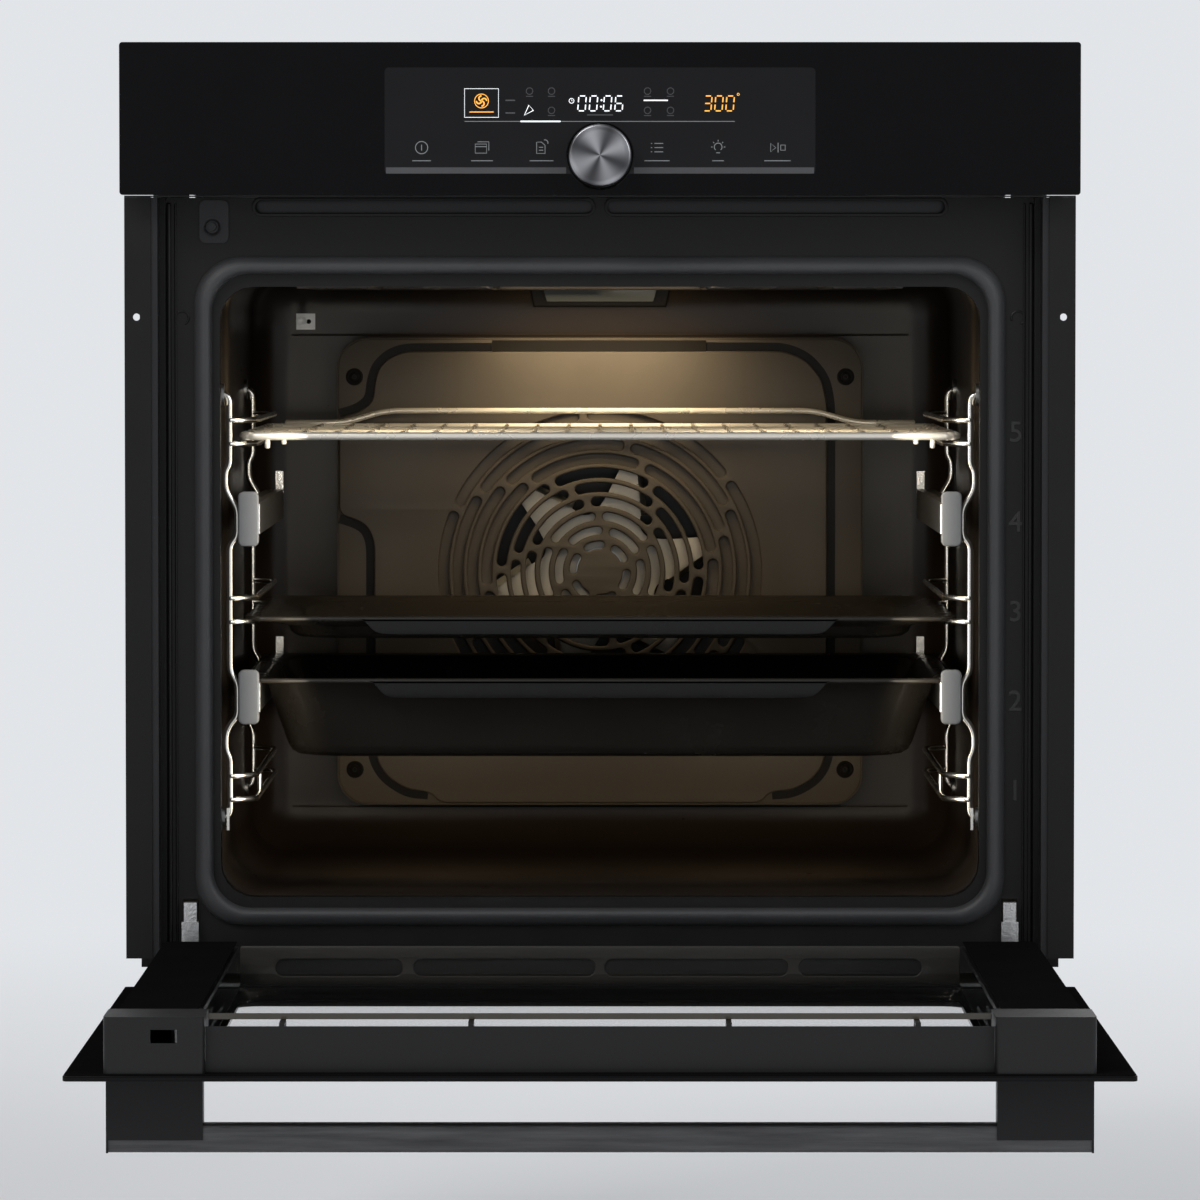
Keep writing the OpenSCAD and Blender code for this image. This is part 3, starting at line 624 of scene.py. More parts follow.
def numeral(text, x, z, height, face):
    """An embossed shelf number on the front frame, lighter than the frame as painted highlight."""
    font = bpy.data.curves.new("numeral_" + text, "FONT")
    font.body = text
    font.size = height * 1.35
    font.extrude = 0.0003
    font.bevel_depth = 0.00025
    font.align_x = "CENTER"
    font.align_y = "CENTER"
    mesh = mesh_of(bpy.data.objects.new("numeral_text_" + text, font))
    mesh.transform(Matrix.Translation((x, face, z)) @ FACING["front"])
    piece = bpy.data.objects.new("shelf_numeral_" + text, mesh)
    finish_piece(piece, "numeral", "root")


def make_gasket():
    """A hollow seal: a sloping outer skirt and a round bead, drawn round the cavity mouth."""
    x1 = GASKET_HIGH[0]
    z0, z1 = GASKET_LOW[2], GASKET_HIGH[2]
    back = GASKET_HIGH[1]
    profile = [(0.0000, 0.0000), (0.0004, 0.0022), (0.0016, 0.0042), (0.0034, 0.006), (0.0054, 0.0072),
               (0.0074, 0.0077), (0.009, 0.0072), (0.0102, 0.006), (0.0109, 0.0042), (0.0112, 0.002),
               (0.0113, 0.0000)]
    rings = []
    for inset, rise in profile:
        ring = rounded(-x1 + inset, x1 - inset, z0 + inset, z1 - inset, 0.03 - inset * 0.55, 14)
        rings.append(at_depth(ring, back - rise))
    soup = Soup()
    soup.rings(rings, closed=True)
    soup.piece("gasket_seal", "gasket", "root", ("door_gasket",), crease=60)


# ---------------- cavity

def make_liner():
    """The enamelled cavity: straight walls, a rounded back edge and pressed steps in the back wall."""
    wall = MM
    x1 = LINER_HIGH[0] - wall
    z0, z1 = LINER_LOW[2] + wall, LINER_HIGH[2] - wall
    back = LINER_HIGH[1] - wall
    front = LINER_LOW[1]
    bend = 0.026
    steps = [(0, front), (0, front + 0.15), (0, front + 0.3), (0, back - bend)]
    for k in range(1, 8):
        turn = math.radians(90 * k / 7)
        steps.append((bend * (1 - math.cos(turn)), back - bend + bend * math.sin(turn)))
    rings = []
    for inset, y in steps:
        corner = max(0.004, bend - inset * 0.6)
        rings.append(at_depth(rounded(-x1 + inset, x1 - inset, z0 + inset, z1 - inset, corner, 10), y))
    soup = Soup()
    soup.rings(rings, cap_start=False)
    liner = soup.piece("cavity_shell", "cavity", "root", ("cavity_liner",), crease=50)
    thicken(liner, wall, 1)
    ridges = Soup()
    for z in (BAFFLE_LOW[2] - 0.004, BAFFLE_HIGH[2] + 0.003):
        ridges.tube([(-0.212, back, z), (0.212, back, z)], 0.0013, sides=10)
    for side in (-1, 1):
        for n in range(1, 6):
            ridges.tube([(side * (x1 + 0.0002), y, level(n) + 0.024) for y in (0.09, 0.4)], 0.0012, sides=10)
    ridges.piece("cavity_ridges", "cavity", "root")


def baffle_slots(front_only):
    """The grille's six rings of six curved slots, or the four rings of shallow grooves round them."""
    first, pitch, web = 0.0183, 0.00987, 0.0026
    loops = []
    for ring in (range(6, 10) if front_only else range(6)):
        r = first + pitch * ring
        half = (0.0051 + 0.00034 * min(ring, 5)) / 2
        for turn in range(0, 360, 60):
            start = 12.5 + 9.3 * ring + turn
            margin = math.degrees((web + half) / r)
            a, b = start + margin, start + 60 - margin
            loop = arc(0, FAN_Z, r + half, a, b, 14)
            loop += arc(*polar(r, b), half, b, b + 180, 8)[1:-1]
            loop += arc(0, FAN_Z, r - half, b, a, 14)
            loop += arc(*polar(r, a), half, a + 180, a + 360, 8)[1:-1]
            loops.append(loop)
    return loops


def raised_outline():
    """The face of the baffle's stamped step, which runs out to the left and bottom edges."""
    left, low = BAFFLE_LOW[0] + 0.0006, BAFFLE_LOW[2] + 0.0006 - FAN_Z
    corners = [(left, 0.1058), (-0.165, 0.1092), (-0.1552, 0.1165), (-0.1542, 0.13), (-0.1512, 0.14),
               (-0.1436, 0.1468), (-0.1335, 0.1507), (0.1265, 0.151), (0.1412, 0.1447),
               (0.152, 0.1313), (0.1554, 0.1135), (0.1554, -0.1148), (0.1535, -0.131),
               (0.1462, -0.142), (0.1317, -0.1498), (0.1165, -0.1508), (0.11, low), (-0.11, low),
               (-0.1165, -0.1508), (-0.1317, -0.1494), (-0.1452, -0.1412), (-0.1527, -0.13),
               (-0.1545, -0.1148), (-0.1545, 0.02), (-0.1585, 0.03), (-0.1655, 0.0353),
               (left, 0.039)]
    return eased([(x, FAN_Z + dz) for x, dz in corners], 0.006, 4, closed=True)


def baffle_bands():
    """The paths of the flat dark bands that stand in for the middle of the step's sloping wall, as painted
    shade, in three stretches.
    """
    left, right = BAFFLE_LOW[0] + 0.0006, 0.158
    return [("top_left", [(left, 0.1085), (-0.166, 0.112), (-0.1578, 0.1185), (-0.1568, 0.13),
                          (-0.1535, 0.141), (-0.145, 0.1492), (-0.134, 0.1533), (-0.074, 0.1536)]),
            ("right", [(0.0722, 0.154), (0.1272, 0.1537), (0.1429, 0.1468), (0.1546, 0.1324), (right, 0.114),
                      (right, -0.115), (0.156, -0.132), (0.148, -0.1438), (0.1324, -0.1524),
                      (0.118, -0.1534)]),
            ("bottom_left", [(-0.118, -0.1534), (-0.1324, -0.152), (-0.147, -0.143), (-0.1552, -0.131),
                             (-0.1571, -0.115), (-0.1571, 0.019), (-0.1605, 0.028), (-0.1665, 0.0325),
                             (left, 0.0363)])]


def make_baffle():
    """The pressed plate in front of the fan: grille, raised face, painted shade along the steps, skirt and
    screw bosses.
    """
    x1 = BAFFLE_HIGH[0]
    face = BAFFLE_LOW[1]
    slots = baffle_slots(False)
    edge = rounded(-x1, x1, BAFFLE_LOW[2], BAFFLE_HIGH[2], 0.02, 10)
    stamped("baffle_plate", [edge] + slots, face + 0.0045, face + 0.0065, 0.0006, "baffle", "root",
            stands_for=("fan_baffle",))
    stamped("baffle_raised", [raised_outline()] + slots + baffle_slots(True), face + 0.0008, face + 0.0046,
            0.0012, "baffle", "root", fine=3)
    for name, corners in baffle_bands():
        # Flat dark strips laid along the step: painted shade.
        band = Soup()
        ribbon(band, eased([(x, FAN_Z + dz) for x, dz in corners], 0.008, 6), 0.006, face + 0.0043)
        band.piece(f"baffle_step_painted_shade_{name}", "dark_enamel_and_painted_shade", "root")
    # A dark band over the real top slope of the step: painted shade.
    slope = Soup()
    section = ((face + 0.0012, FAN_Z + 0.1506), (face + 0.0046, FAN_Z + 0.1506),
               (face + 0.0046, BAFFLE_HIGH[2] - 0.0006), (face + 0.0036, BAFFLE_HIGH[2] - 0.0006))
    slope.rings([[Vector((x, y, z)) for y, z in section] for x in (-0.0735, 0.0725)])
    slope.piece("baffle_top_slope_painted_shade", "dark_enamel_and_painted_shade", "root")
    skirt = Soup()
    skirt.rings([at_depth(edge, y) for y in (face + 0.0048, BAFFLE_HIGH[1] - 0.0005)], cap_start=False,
                cap_end=False)
    thicken(skirt.piece("baffle_skirt", "baffle", "root", crease=60), MM, -1)
    bosses = Soup()
    stations = ((0.006, face + 0.0046), (0.0054, face + 0.0038), (0.0046, face + 0.0036),
                (0.0038, face + 0.004))
    boss_x, boss_low, boss_high = 0.168, 0.1097, 0.3788
    for x in (-boss_x, boss_x):
        for z in (boss_low, boss_high):
            bosses.rings(turned(x, z, stations, 28), cap_start=False)
            screw_head(bosses, (x, face + 0.0038, z), 0.0034, (0, -1, 0))
    bosses.piece("baffle_bosses", "dark_enamel_and_painted_shade", "root", ("baffle_screws",))


def polar(r, turn):
    """A point in X and Z, at a radius and an angle about the fan's axis."""
    return arc(0, FAN_Z, r, turn, turn, 1)[0]


def make_fan():
    """A pressed star wheel with a bent blade along one edge of each arm."""
    disc = FAN_LOW[1] + 0.0006
    drop = Vector((0, 0.0135, 0))
    outline = []
    arms = Soup()
    for turn in range(0, 360, 60):
        centre = 75 + turn
        for r, off in ((0.04, -27), (0.0505, -19), (0.0745, -4.5), (0.0745, 3.5), (0.052, 10), (0.04, 20)):
            outline.append(polar(r, centre + off))
        inner = polar(0.047, centre - 21)
        outer = polar(0.0742, centre - 4.6)
        across = Vector((outer[1] - inner[1], 0, -(outer[0] - inner[0]))).normalized() * 0.0005
        a, b = at_depth((inner, outer), disc)
        ring = [a - across, a + across, b + across, b - across]
        lean = across * 8
        arms.rings([ring, [p + drop + lean for p in ring]])
    wheel = eased(outline, 0.004, 3, closed=True)
    stamped("fan_wheel", [wheel], disc, disc + 0.0012, 0.0003, "fan", "fan", stands_for=("fan_impeller",))
    arms.piece("fan_blades", "fan", "fan")
    hub = Soup()
    stations = ((0.003, disc - 0.0055), (0.0072, disc - 0.0052), (0.0078, disc - 0.0042),
                (0.0078, disc - 0.0006), (0.016, disc - 0.0004), (0.0175, disc + 0.0002),
                (0.0175, disc + 0.01), (0.009, disc + 0.01))
    hub.rings(turned(0, FAN_Z, stations, 36))
    hub.piece("fan_hub", "steel", "fan")


def make_lamp_and_sensor():
    """The ribbed lamp glass in its dark surround, and the sensor's light plate, which glows with painted
    light.
    """
    face = LENS_LOW[1]
    low, high = LENS_LOW[2], LENS_HIGH[2]
    surround = [(-0.05, high + 0.002), (-0.0455, low - 0.0035), (0.0455, low - 0.0035),
                (0.05, high + 0.002)]
    stamped("lamp_surround", [surround], face + 0.006, face + 0.0128, 0.0015, "dark_enamel_and_painted_shade", "root")
    teeth = []
    for i in range(9):
        x = 0.038 - i * 0.0095
        teeth += [(x, high + 0.001), (x - 0.002, high - 0.0015), (x - 0.0065, high - 0.0015)]
    outline = [(-0.0395, high + 0.001), (-0.0355, low + 0.0015), (0.0355, low + 0.0015),
               (0.0395, high + 0.001)]
    stamped("lamp_glass", [outline + teeth[1:-1]], face, face + 0.0065, 0.0012, "lens", "root",
            stands_for=("lamp_lens",))
    # The sensor probe takes the plate material too, and glows with the same painted light.
    paint("plate", "temperature_sensor")
    add_bevel("temperature_sensor", 0.0003)
    back = BAFFLE_HIGH[1]
    stamped("sensor_plate", [rounded(-0.2072, -0.1959, 0.4122, 0.4208, 0.0008)], back - 0.004,
            back - 0.0012, 0.0003, "plate", "root")
    # The plate's dark dot, set a little right of the probe's tip so a crescent of it shows beside the tip:
    # the crescent is painted shadow of the tip.
    dot = Soup()
    stations = ((0.0017, back - 0.0038), (0.0014, back - 0.0047), (0.0008, back - 0.005))
    dot.rings(turned(-0.2003, 0.4165, stations, 20))
    dot.piece("sensor_dot_and_tip_shadow", "dark", "root")


# ---------------- racks, rails, shelf and trays

def make_racks():
    """Two wire racks: bent uprights at the front and back, and pairs of wires at three levels."""
    front, back = RACK_LOW[1] + WIRE / 2, RACK_HIGH[1] - WIRE / 2
    wall = 0.2375
    plain, inward, outward, run = 0.2337, 0.229, 0.2364, 0.218
    for side, name in SIDES:
        soup = Soup()
        post = [(wall, 0.3715), (plain, 0.369), (plain, 0.327), (outward, 0.3225), (outward, 0.312),
                (plain, 0.3065), (inward, 0.299), (inward, 0.2815), (plain, 0.276), (plain, 0.196),
                (inward, 0.1885), (inward, 0.168), (plain, 0.1625), (outward, 0.1565), (outward, 0.1465),
                (plain, 0.141), (plain, 0.1065), (wall, 0.103)]
        for y in (front, back):
            soup.tube(softened([(side * x, y, z) for x, z in post], 0.004), WIRE / 2, sides=12)
        for n in (1, 3, 5):
            for half in (-0.5, 0.5):
                z = level(n) + half * PAIR_GAP
                path = [(plain, front - 0.001, z), (run, front + 0.014, z), (run, back - 0.014, z),
                        (plain, back + 0.001, z)]
                soup.tube(softened([(side * x, y, h) for x, y, h in path], 0.007), WIRE / 2 * 0.95, sides=12)
        z = level(1)
        soup.tube([(side * run, 0.11, z - PAIR_GAP / 2), (side * run, 0.11, z + PAIR_GAP / 2)], 0.0018)
        soup.piece(f"rack_{name}", "chrome", "root", (f"side_rack_{name}",), crease=70)
        tabs = Soup()
        tab_x = side * 0.235
        tabs.box((tab_x - 0.0008, front - 0.004, 0.096), (tab_x + 0.0008, front + 0.004, 0.11))
        tabs.piece(f"rack_tab_{name}", "chrome", "root")
    paint("steel", "rack_studs")
    add_bevel("rack_studs", 0.0005)


def make_rails():
    """Caps, bright steel strips along the caps' inner edges as painted highlights, and pegs on the
    telescopic runners.
    """
    moving = ["rail4_runner_left", "rail4_runner_right", "rail2_runners"]
    # Runners, slides and bases take the darker copy of the steel: painted shade.
    paint("rail", "rail_bases", "rail4_slide_left", "rail4_slide_right", "rail2_slides", *moving)
    for name in moving:
        add_bevel(name, 0.0009, 3)
    add_bevel("rail_bases", 0.0004)
    reach, cap_y, half = 0.00025, RACK_LOW[1] - 0.004, 0.01725
    inner, outer, peg_x = 0.2155, 0.228, 0.218
    for side, tag in SIDES:
        x0, x1 = sorted((side * (inner - reach), side * (outer + reach)))
        for n, body in ((4, f"rail4_runner_{tag}"), (2, "rail2_runners")):
            z = level(n) + 0.0015
            stamped(f"rail_cap_{n}_{tag}", [rounded(x0, x1, z - half, z + half, 0.0035)], cap_y - reach,
                    cap_y + 0.0062, 0.0012, "rail_cap", body, fine=3)
            # A bright steel rod along the cap's inner edge, put where the edge catches the light: painted
            # highlight.
            edge = Soup()
            edge.tube([(side * 0.2154, cap_y + 0.001, h) for h in (z - half + 0.008, z + half - 0.008)],
                      0.001)
            edge.piece(f"rail_cap_edge_{n}_{tag}", "bright_steel", body)
            peg = Soup()
            peg.box((side * peg_x - 0.0026, 0.3878, z + 0.008), (side * peg_x + 0.0026, 0.3912, z + 0.0222))
            peg.piece(f"rail_peg_{n}_{tag}", "bright_steel", body)


def make_shelf():
    """A wire shelf: frame, two cross bars, long wires, a raised guard at the back and two stops."""
    bar = 0.0025
    x1 = SHELF_HIGH[0] - bar
    y0, y1 = SHELF_LOW[1] + bar, SHELF_HIGH[1] - bar
    z = level(5) - PAIR_GAP / 2 + WIRE / 2 + 0.0003 + bar
    soup = Soup()
    loop = softened([(-x1, y0, z), (x1, y0, z), (x1, y1, z), (-x1, y1, z)], 0.012, 6, closed=True)
    soup.tube(loop, bar, sides=14, closed=True)
    for y in (0.17, 0.29):
        soup.tube([(-x1, y, z - 0.0002), (x1, y, z - 0.0002)], 0.0024)
    for i in range(-9, 10):
        x = i * 0.021
        path = [(x, y0 + 0.001, z - 0.001), (x, y0 + 0.004, z + 0.0012), (x, y1 - 0.004, z + 0.0012),
                (x, y1 - 0.001, z - 0.001)]
        soup.tube(softened(path, 0.002), 0.0014)
    guard = [(-0.214, y1 - 0.0005, z + 0.0028), (-0.174, y1 - 0.0005, z + 0.0028),
             (-0.146, y1 - 0.0005, z + 0.011), (0.146, y1 - 0.0005, z + 0.011),
             (0.174, y1 - 0.0005, z + 0.0028), (0.214, y1 - 0.0005, z + 0.0028)]
    soup.tube(softened(guard, 0.01, 6), 0.002, sides=12)
    for side in (-1, 1):
        for x, drop in ((0.21, 0.007), (0.1995, 0.0045)):
            soup.tube([(side * x, y0 + 0.001, z), (side * x, y0 + 0.001, z - drop)], 0.0017)
    soup.piece("shelf_grid", "shelf_wire", "wire_shelf", ("wire_shelf",), crease=70)


def make_pan(name, node, depth, floor_y, drop, drop_half):
    """A pressed pan: rolled rim, sloping walls with round corners, and a deeper lip at the front."""
    low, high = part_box(node)
    x1 = high[0]
    y0, y1 = low[1], high[1]
    rim = high[2] - 0.0002
    floor_half = 0.196
    floor = rim - depth
    fy0, fy1 = floor_y
    bands = [
        (x1, y0, y1, rim - 0.003, 0.014), (x1, y0, y1, rim - 0.0012, 0.014),
        (x1 - 0.0006, y0 + 0.0006, y1 - 0.0006, rim - 0.0003, 0.014),
        (x1 - 0.0018, y0 + 0.0018, y1 - 0.0018, rim, 0.013),
        (x1 - 0.0095, y0 + 0.0075, y1 - 0.0075, rim - 0.0002, 0.02),
        (x1 - 0.012, y0 + 0.0095, y1 - 0.0095, rim - 0.0012, 0.022),
        (x1 - 0.0145, y0 + 0.0115, y1 - 0.0115, rim - 0.004, 0.026),
        (floor_half + 0.0035, fy0 - 0.0035, fy1 + 0.0035, floor + 0.0075, 0.034),
        (floor_half + 0.0012, fy0 - 0.0012, fy1 + 0.0012, floor + 0.003, 0.034),
        (floor_half - 0.0025, fy0 + 0.0025, fy1 - 0.0025, floor + 0.0006, 0.032),
        (floor_half - 0.0065, fy0 + 0.0065, fy1 - 0.0065, floor, 0.03),
    ]
    rings = []
    for half, front, back, z, r in bands:
        rings.append([Vector((x, y, z)) for x, y in rounded(-half, half, front, back, r, 10)])
    soup = Soup()
    soup.rings(rings, cap_start=False)
    # The pan body is drawn in the lighter copy of the enamel: painted lamp light.
    thicken(soup.piece(name, "tray_painted_lamp_light", node, (node,), crease=50), 0.0009, -1)
    slope = 0.017
    lip = [(-drop_half - slope, rim - 0.0015), (-drop_half - slope * 0.7, rim - drop * 0.18),
           (-drop_half - slope * 0.3, rim - drop * 0.82), (-drop_half, rim - drop), (drop_half, rim - drop),
           (drop_half + slope * 0.3, rim - drop * 0.82), (drop_half + slope * 0.7, rim - drop * 0.18),
           (drop_half + slope, rim - 0.0015)]
    stamped(name + "_lip", [eased(lip, 0.01)], y0, y0 + 0.0014, 0.0004, "tray", node)


def make_trays():
    make_pan("baking_pan", "baking_tray", 0.0145, (0.088, 0.358), 0.0115, 0.138)
    make_pan("deep_pan", "deep_tray", 0.0505, (0.086, 0.36), 0.0125, 0.132)


# ---------------- control panel

def ribbon(soup, points, width, y, closed=False):
    """A flat printed line in the plane of the panel."""
    flat = [Vector((x, 0, z)) for x, z in points]
    count = len(flat)
    left, right = [], []
    for i in range(count):
        before = flat[i - 1] if closed or i else flat[0]
        after = flat[(i + 1) % count] if closed or i < count - 1 else flat[-1]
        step = (after - before).normalized()
        across = Vector((-step.z, 0, step.x)) * width / 2
        left.append(flat[i] + across)
        right.append(flat[i] - across)
    base = len(soup.points)
    for a, b in zip(left, right):
        for p, depth in ((a, 0), (b, 0), (b, 0.00012), (a, 0.00012)):
            soup.points.append(Vector((p.x, y + depth, p.z)))
    last = count if closed else count - 1
    for i in range(last):
        here, after = base + 4 * i, base + 4 * ((i + 1) % count)
        for k in range(4):
            j = (k + 1) % 4
            soup.faces.append((here + k, here + j, after + j, after + k))
    if not closed:
        soup.faces.append((base + 3, base + 2, base + 1, base))
        end = base + 4 * (count - 1)
        soup.faces.append((end, end + 1, end + 2, end + 3))


SEGMENTS = {"0": "abcdef", "1": "bc", "2": "abged", "3": "abgcd", "4": "fgbc", "5": "afgcd", "6": "afgedc",
            "7": "abc", "8": "abcdefg", "9": "abcdfg"}


def digit(soup, mark, x, z, w, h, y):
    """A seven-segment digit with its lower left corner at x, z."""
    lean, line, gap = 0.08, 0.00075, 0.0007

    def at(u, v):
        return (x + u * w + lean * v * h, z + v * h)

    g = gap / w
    k = gap / h
    ends = {"a": (at(g, 1), at(1 - g, 1)), "b": (at(1, 1 - k), at(1, 0.5 + k)),
            "c": (at(1, 0.5 - k), at(1, k)), "d": (at(g, 0), at(1 - g, 0)),
            "e": (at(0, 0.5 - k), at(0, k)), "f": (at(0, 1 - k), at(0, 0.5 + k)),
            "g": (at(g, 0.5), at(1 - g, 0.5))}
    for name in SEGMENTS[mark]:
        ribbon(soup, ends[name], line, y)


def make_display():
    """The lit display behind the panel glass, and the touch marks under it."""
    glass = PANEL_LOW[1]
    y = glass - 0.0003
    strip_z = KNOB_Z - 0.009
    stamped("display_zone", [rounded(-0.1333, 0.1333, 0.5086, 0.5743, 0.0028)], glass - 0.00012,
            glass + 0.0002, 0.00005, "display", "root")
    strip = Soup()
    for a, b in ((-0.1325, -0.021), (0.021, 0.1325)):
        ribbon(strip, [(a, strip_z), (b, strip_z)], 0.0038, y)
    strip.piece("display_strip", "silver", "root")
    upper = 0.5475
    line_z = upper - 0.0065
    white, dim, faint, orange = Soup(), Soup(), Soup(), Soup()
    ribbon(dim, [(-0.0838, line_z), (0.0834, line_z)], 0.0004, y)
    ribbon(white, [(-0.0492, line_z), (-0.0244, line_z)], 0.0009, y - 0.0001)
    wide, high = 0.0046, 0.0092
    for i, mark in enumerate("0006"):
        digit(white, mark, -0.0138 + i * 0.0071 + (0.0016 if i > 1 else 0), upper, wide, high, y)
    for v in (0.0026, 0.0066):
        ribbon(white, arc(0.0004 + v * 0.08, upper + v, 0.0004, 0, 330, 8), 0.0005, y, closed=True)
    for i, mark in enumerate("300"):
        digit(orange, mark, 0.064 + i * 0.0069, upper, wide, high, y)
    ribbon(orange, arc(0.0855, upper + 0.0102, 0.0007, 0, 330, 8), 0.0004, y, closed=True)
    # Chosen mode: a fan in a box, with an element line below it
    ribbon(white, [(-0.0838, 0.5435), (-0.0628, 0.5435), (-0.0628, 0.5612), (-0.0838, 0.5612)], 0.0004, y,
           closed=True)
    fan = (-0.0733, 0.5536)
    ribbon(orange, arc(*fan, 0.0043, 0, 345, 24), 0.0005, y, closed=True)
    for turn in range(0, 360, 90):
        curl = arc(*fan, 0.0016, turn, turn, 1)[0]
        ribbon(orange, arc(*curl, 0.0016, turn, turn + 170, 8), 0.0009, y)
    ribbon(orange, [(-0.0808, 0.5468), (-0.0658, 0.5468)], 0.0006, y)
    # Food wedge, clock, and plain generic marks for the sleeping symbols
    ribbon(white, [(-0.0468, 0.5448), (-0.0412, 0.5478), (-0.044, 0.551)], 0.0007, y, closed=True)
    ribbon(white, arc(-0.0176, 0.5537, 0.0015, 0, 345, 16), 0.0004, y, closed=True)
    ribbon(white, [(-0.0176, 0.5547), (-0.0176, 0.5537), (-0.0168, 0.5537)], 0.0003, y)
    ribbon(white, [(0.027, 0.554), (0.042, 0.554)], 0.0008, y)
    for x, z in ((-0.0436, 0.5597), (-0.03, 0.5597), (-0.03, 0.5478), (0.0294, 0.5597), (0.0436, 0.5597),
                 (0.0294, 0.5478), (0.0436, 0.5478)):
        ribbon(faint, arc(x, z, 0.0021, 0, 315, 8), 0.0004, y, closed=True)
        ribbon(faint, [(x - 0.0022, z - 0.0032), (x + 0.0022, z - 0.0032)], 0.0004, y)
    for z in (0.554, 0.5462):
        ribbon(faint, [(-0.0585, z), (-0.0525, z)], 0.0008, y)
    ribbon(faint, [(-0.008, 0.545), (0.008, 0.545)], 0.0006, y)
    touch_icons(dim, y)
    white.piece("display_white", "white", "root")
    orange.piece("display_orange", "orange", "root")
    dim.piece("display_touch_marks", "dim", "root")
    faint.piece("display_sleeping_marks", "faint", "root")


def touch_icons(soup, y):
    """Six outline symbols, each over a short bar where the real panel has a caption. Their points are in
    millimetres about their own middles."""
    power, oven, recipe, menu, lamp, start = -0.1104, -0.073, -0.0362, 0.0353, 0.0731, 0.1098
    z = 0.5248

    def mark(x, points, closed=False):
        ribbon(soup, [(x + u * MM, z + v * MM) for u, v in points], 0.00045, y, closed)

    mark(power, arc(0, 0, 3.8, 0, 345, 24), True)
    mark(power, [(0, -1.8), (0, 1.8)])
    mark(oven, [(-4.2, -3.4), (2.8, -3.4), (2.8, 2.2), (-4.2, 2.2)], True)
    mark(oven, [(-2.8, 3.6), (4.2, 3.6), (4.2, -1.8)])
    mark(oven, [(-4.2, 0.6), (2.8, 0.6)])
    mark(recipe, [(-3.0, -3.6), (2.2, -3.6), (2.2, 1.4), (0, 3.4), (-3.0, 3.4)], True)
    for v in (-1.6, 0.2):
        mark(recipe, [(-1.6, v), (1.0, v)])
    mark(recipe, arc(2.2, 3.0, 1.8, -20, 110, 8))
    for v in (-2.6, 0, 2.6):
        mark(menu, [(-1.6, v), (3.8, v)])
        mark(menu, [(-3.8, v), (-3.0, v)])
    mark(lamp, arc(0, 0.4, 2.4, -50, 230, 18))
    mark(lamp, [(-1.2, -3.2), (1.2, -3.2)])
    for turn in (0, 45, 90, 135, 180):
        mark(lamp, [arc(0, 0.4, r, turn, turn, 1)[0] for r in (3.4, 4.4)])
    mark(start, [(-4.2, -2.6), (-1.0, 0), (-4.2, 2.6)], True)
    mark(start, [(0.4, -3.0), (0.4, 3.0)])
    mark(start, [(2.0, -1.6), (4.8, -1.6), (4.8, 1.6), (2.0, 1.6)], True)
    for x, half in ((power, 5.8), (oven, 6.8), (recipe, 7.4), (menu, 7.8), (lamp, 3.6), (start, 8.2)):
        mark(x, [(-half, -8.1), (half, -8.1)])


def make_panel():
    """The panel's glass, display and turned knob, with a dark collar round the knob."""
    paint("black_glass", "control_glass")
    add_bevel("control_glass", 0.0006, 3)
    make_display()
    r = (KNOB_HIGH[0] - KNOB_LOW[0]) / 2
    front, back, glass = KNOB_LOW[1], KNOB_HIGH[1], PANEL_LOW[1]
    stations = ((r - 0.0022, back), (r - 0.0022, back - 0.0008), (r - 0.0002, back - 0.001),
                (r, back - 0.0016), (r - 0.0002, front + 0.0012), (r - 0.0006, front + 0.0004),
                (r - 0.0016, front), (r - 0.0045, front + 0.0002), (r * 0.5, front + 0.0006),
                (r * 0.12, front + 0.0008))
    soup = Soup()
    soup.rings(turned(KNOB_X, KNOB_Z, stations, 72))
    soup.piece("knob_turned", "knob_metal", "control_knob", ("control_knob",), crease=60)
    stations = ((r + 0.0016, glass + 0.0001), (r + 0.0016, glass - 0.0007), (r + 0.001, glass - 0.0011),
                (r + 0.0004, glass - 0.0009), (r + 0.0004, glass + 0.0001))
    collar = Soup()
    collar.rings(turned(KNOB_X, KNOB_Z, stations, 72), cap_start=False, cap_end=False)
    collar.piece("knob_collar", "black_glass", "root")


# ---------------- door, drawn open

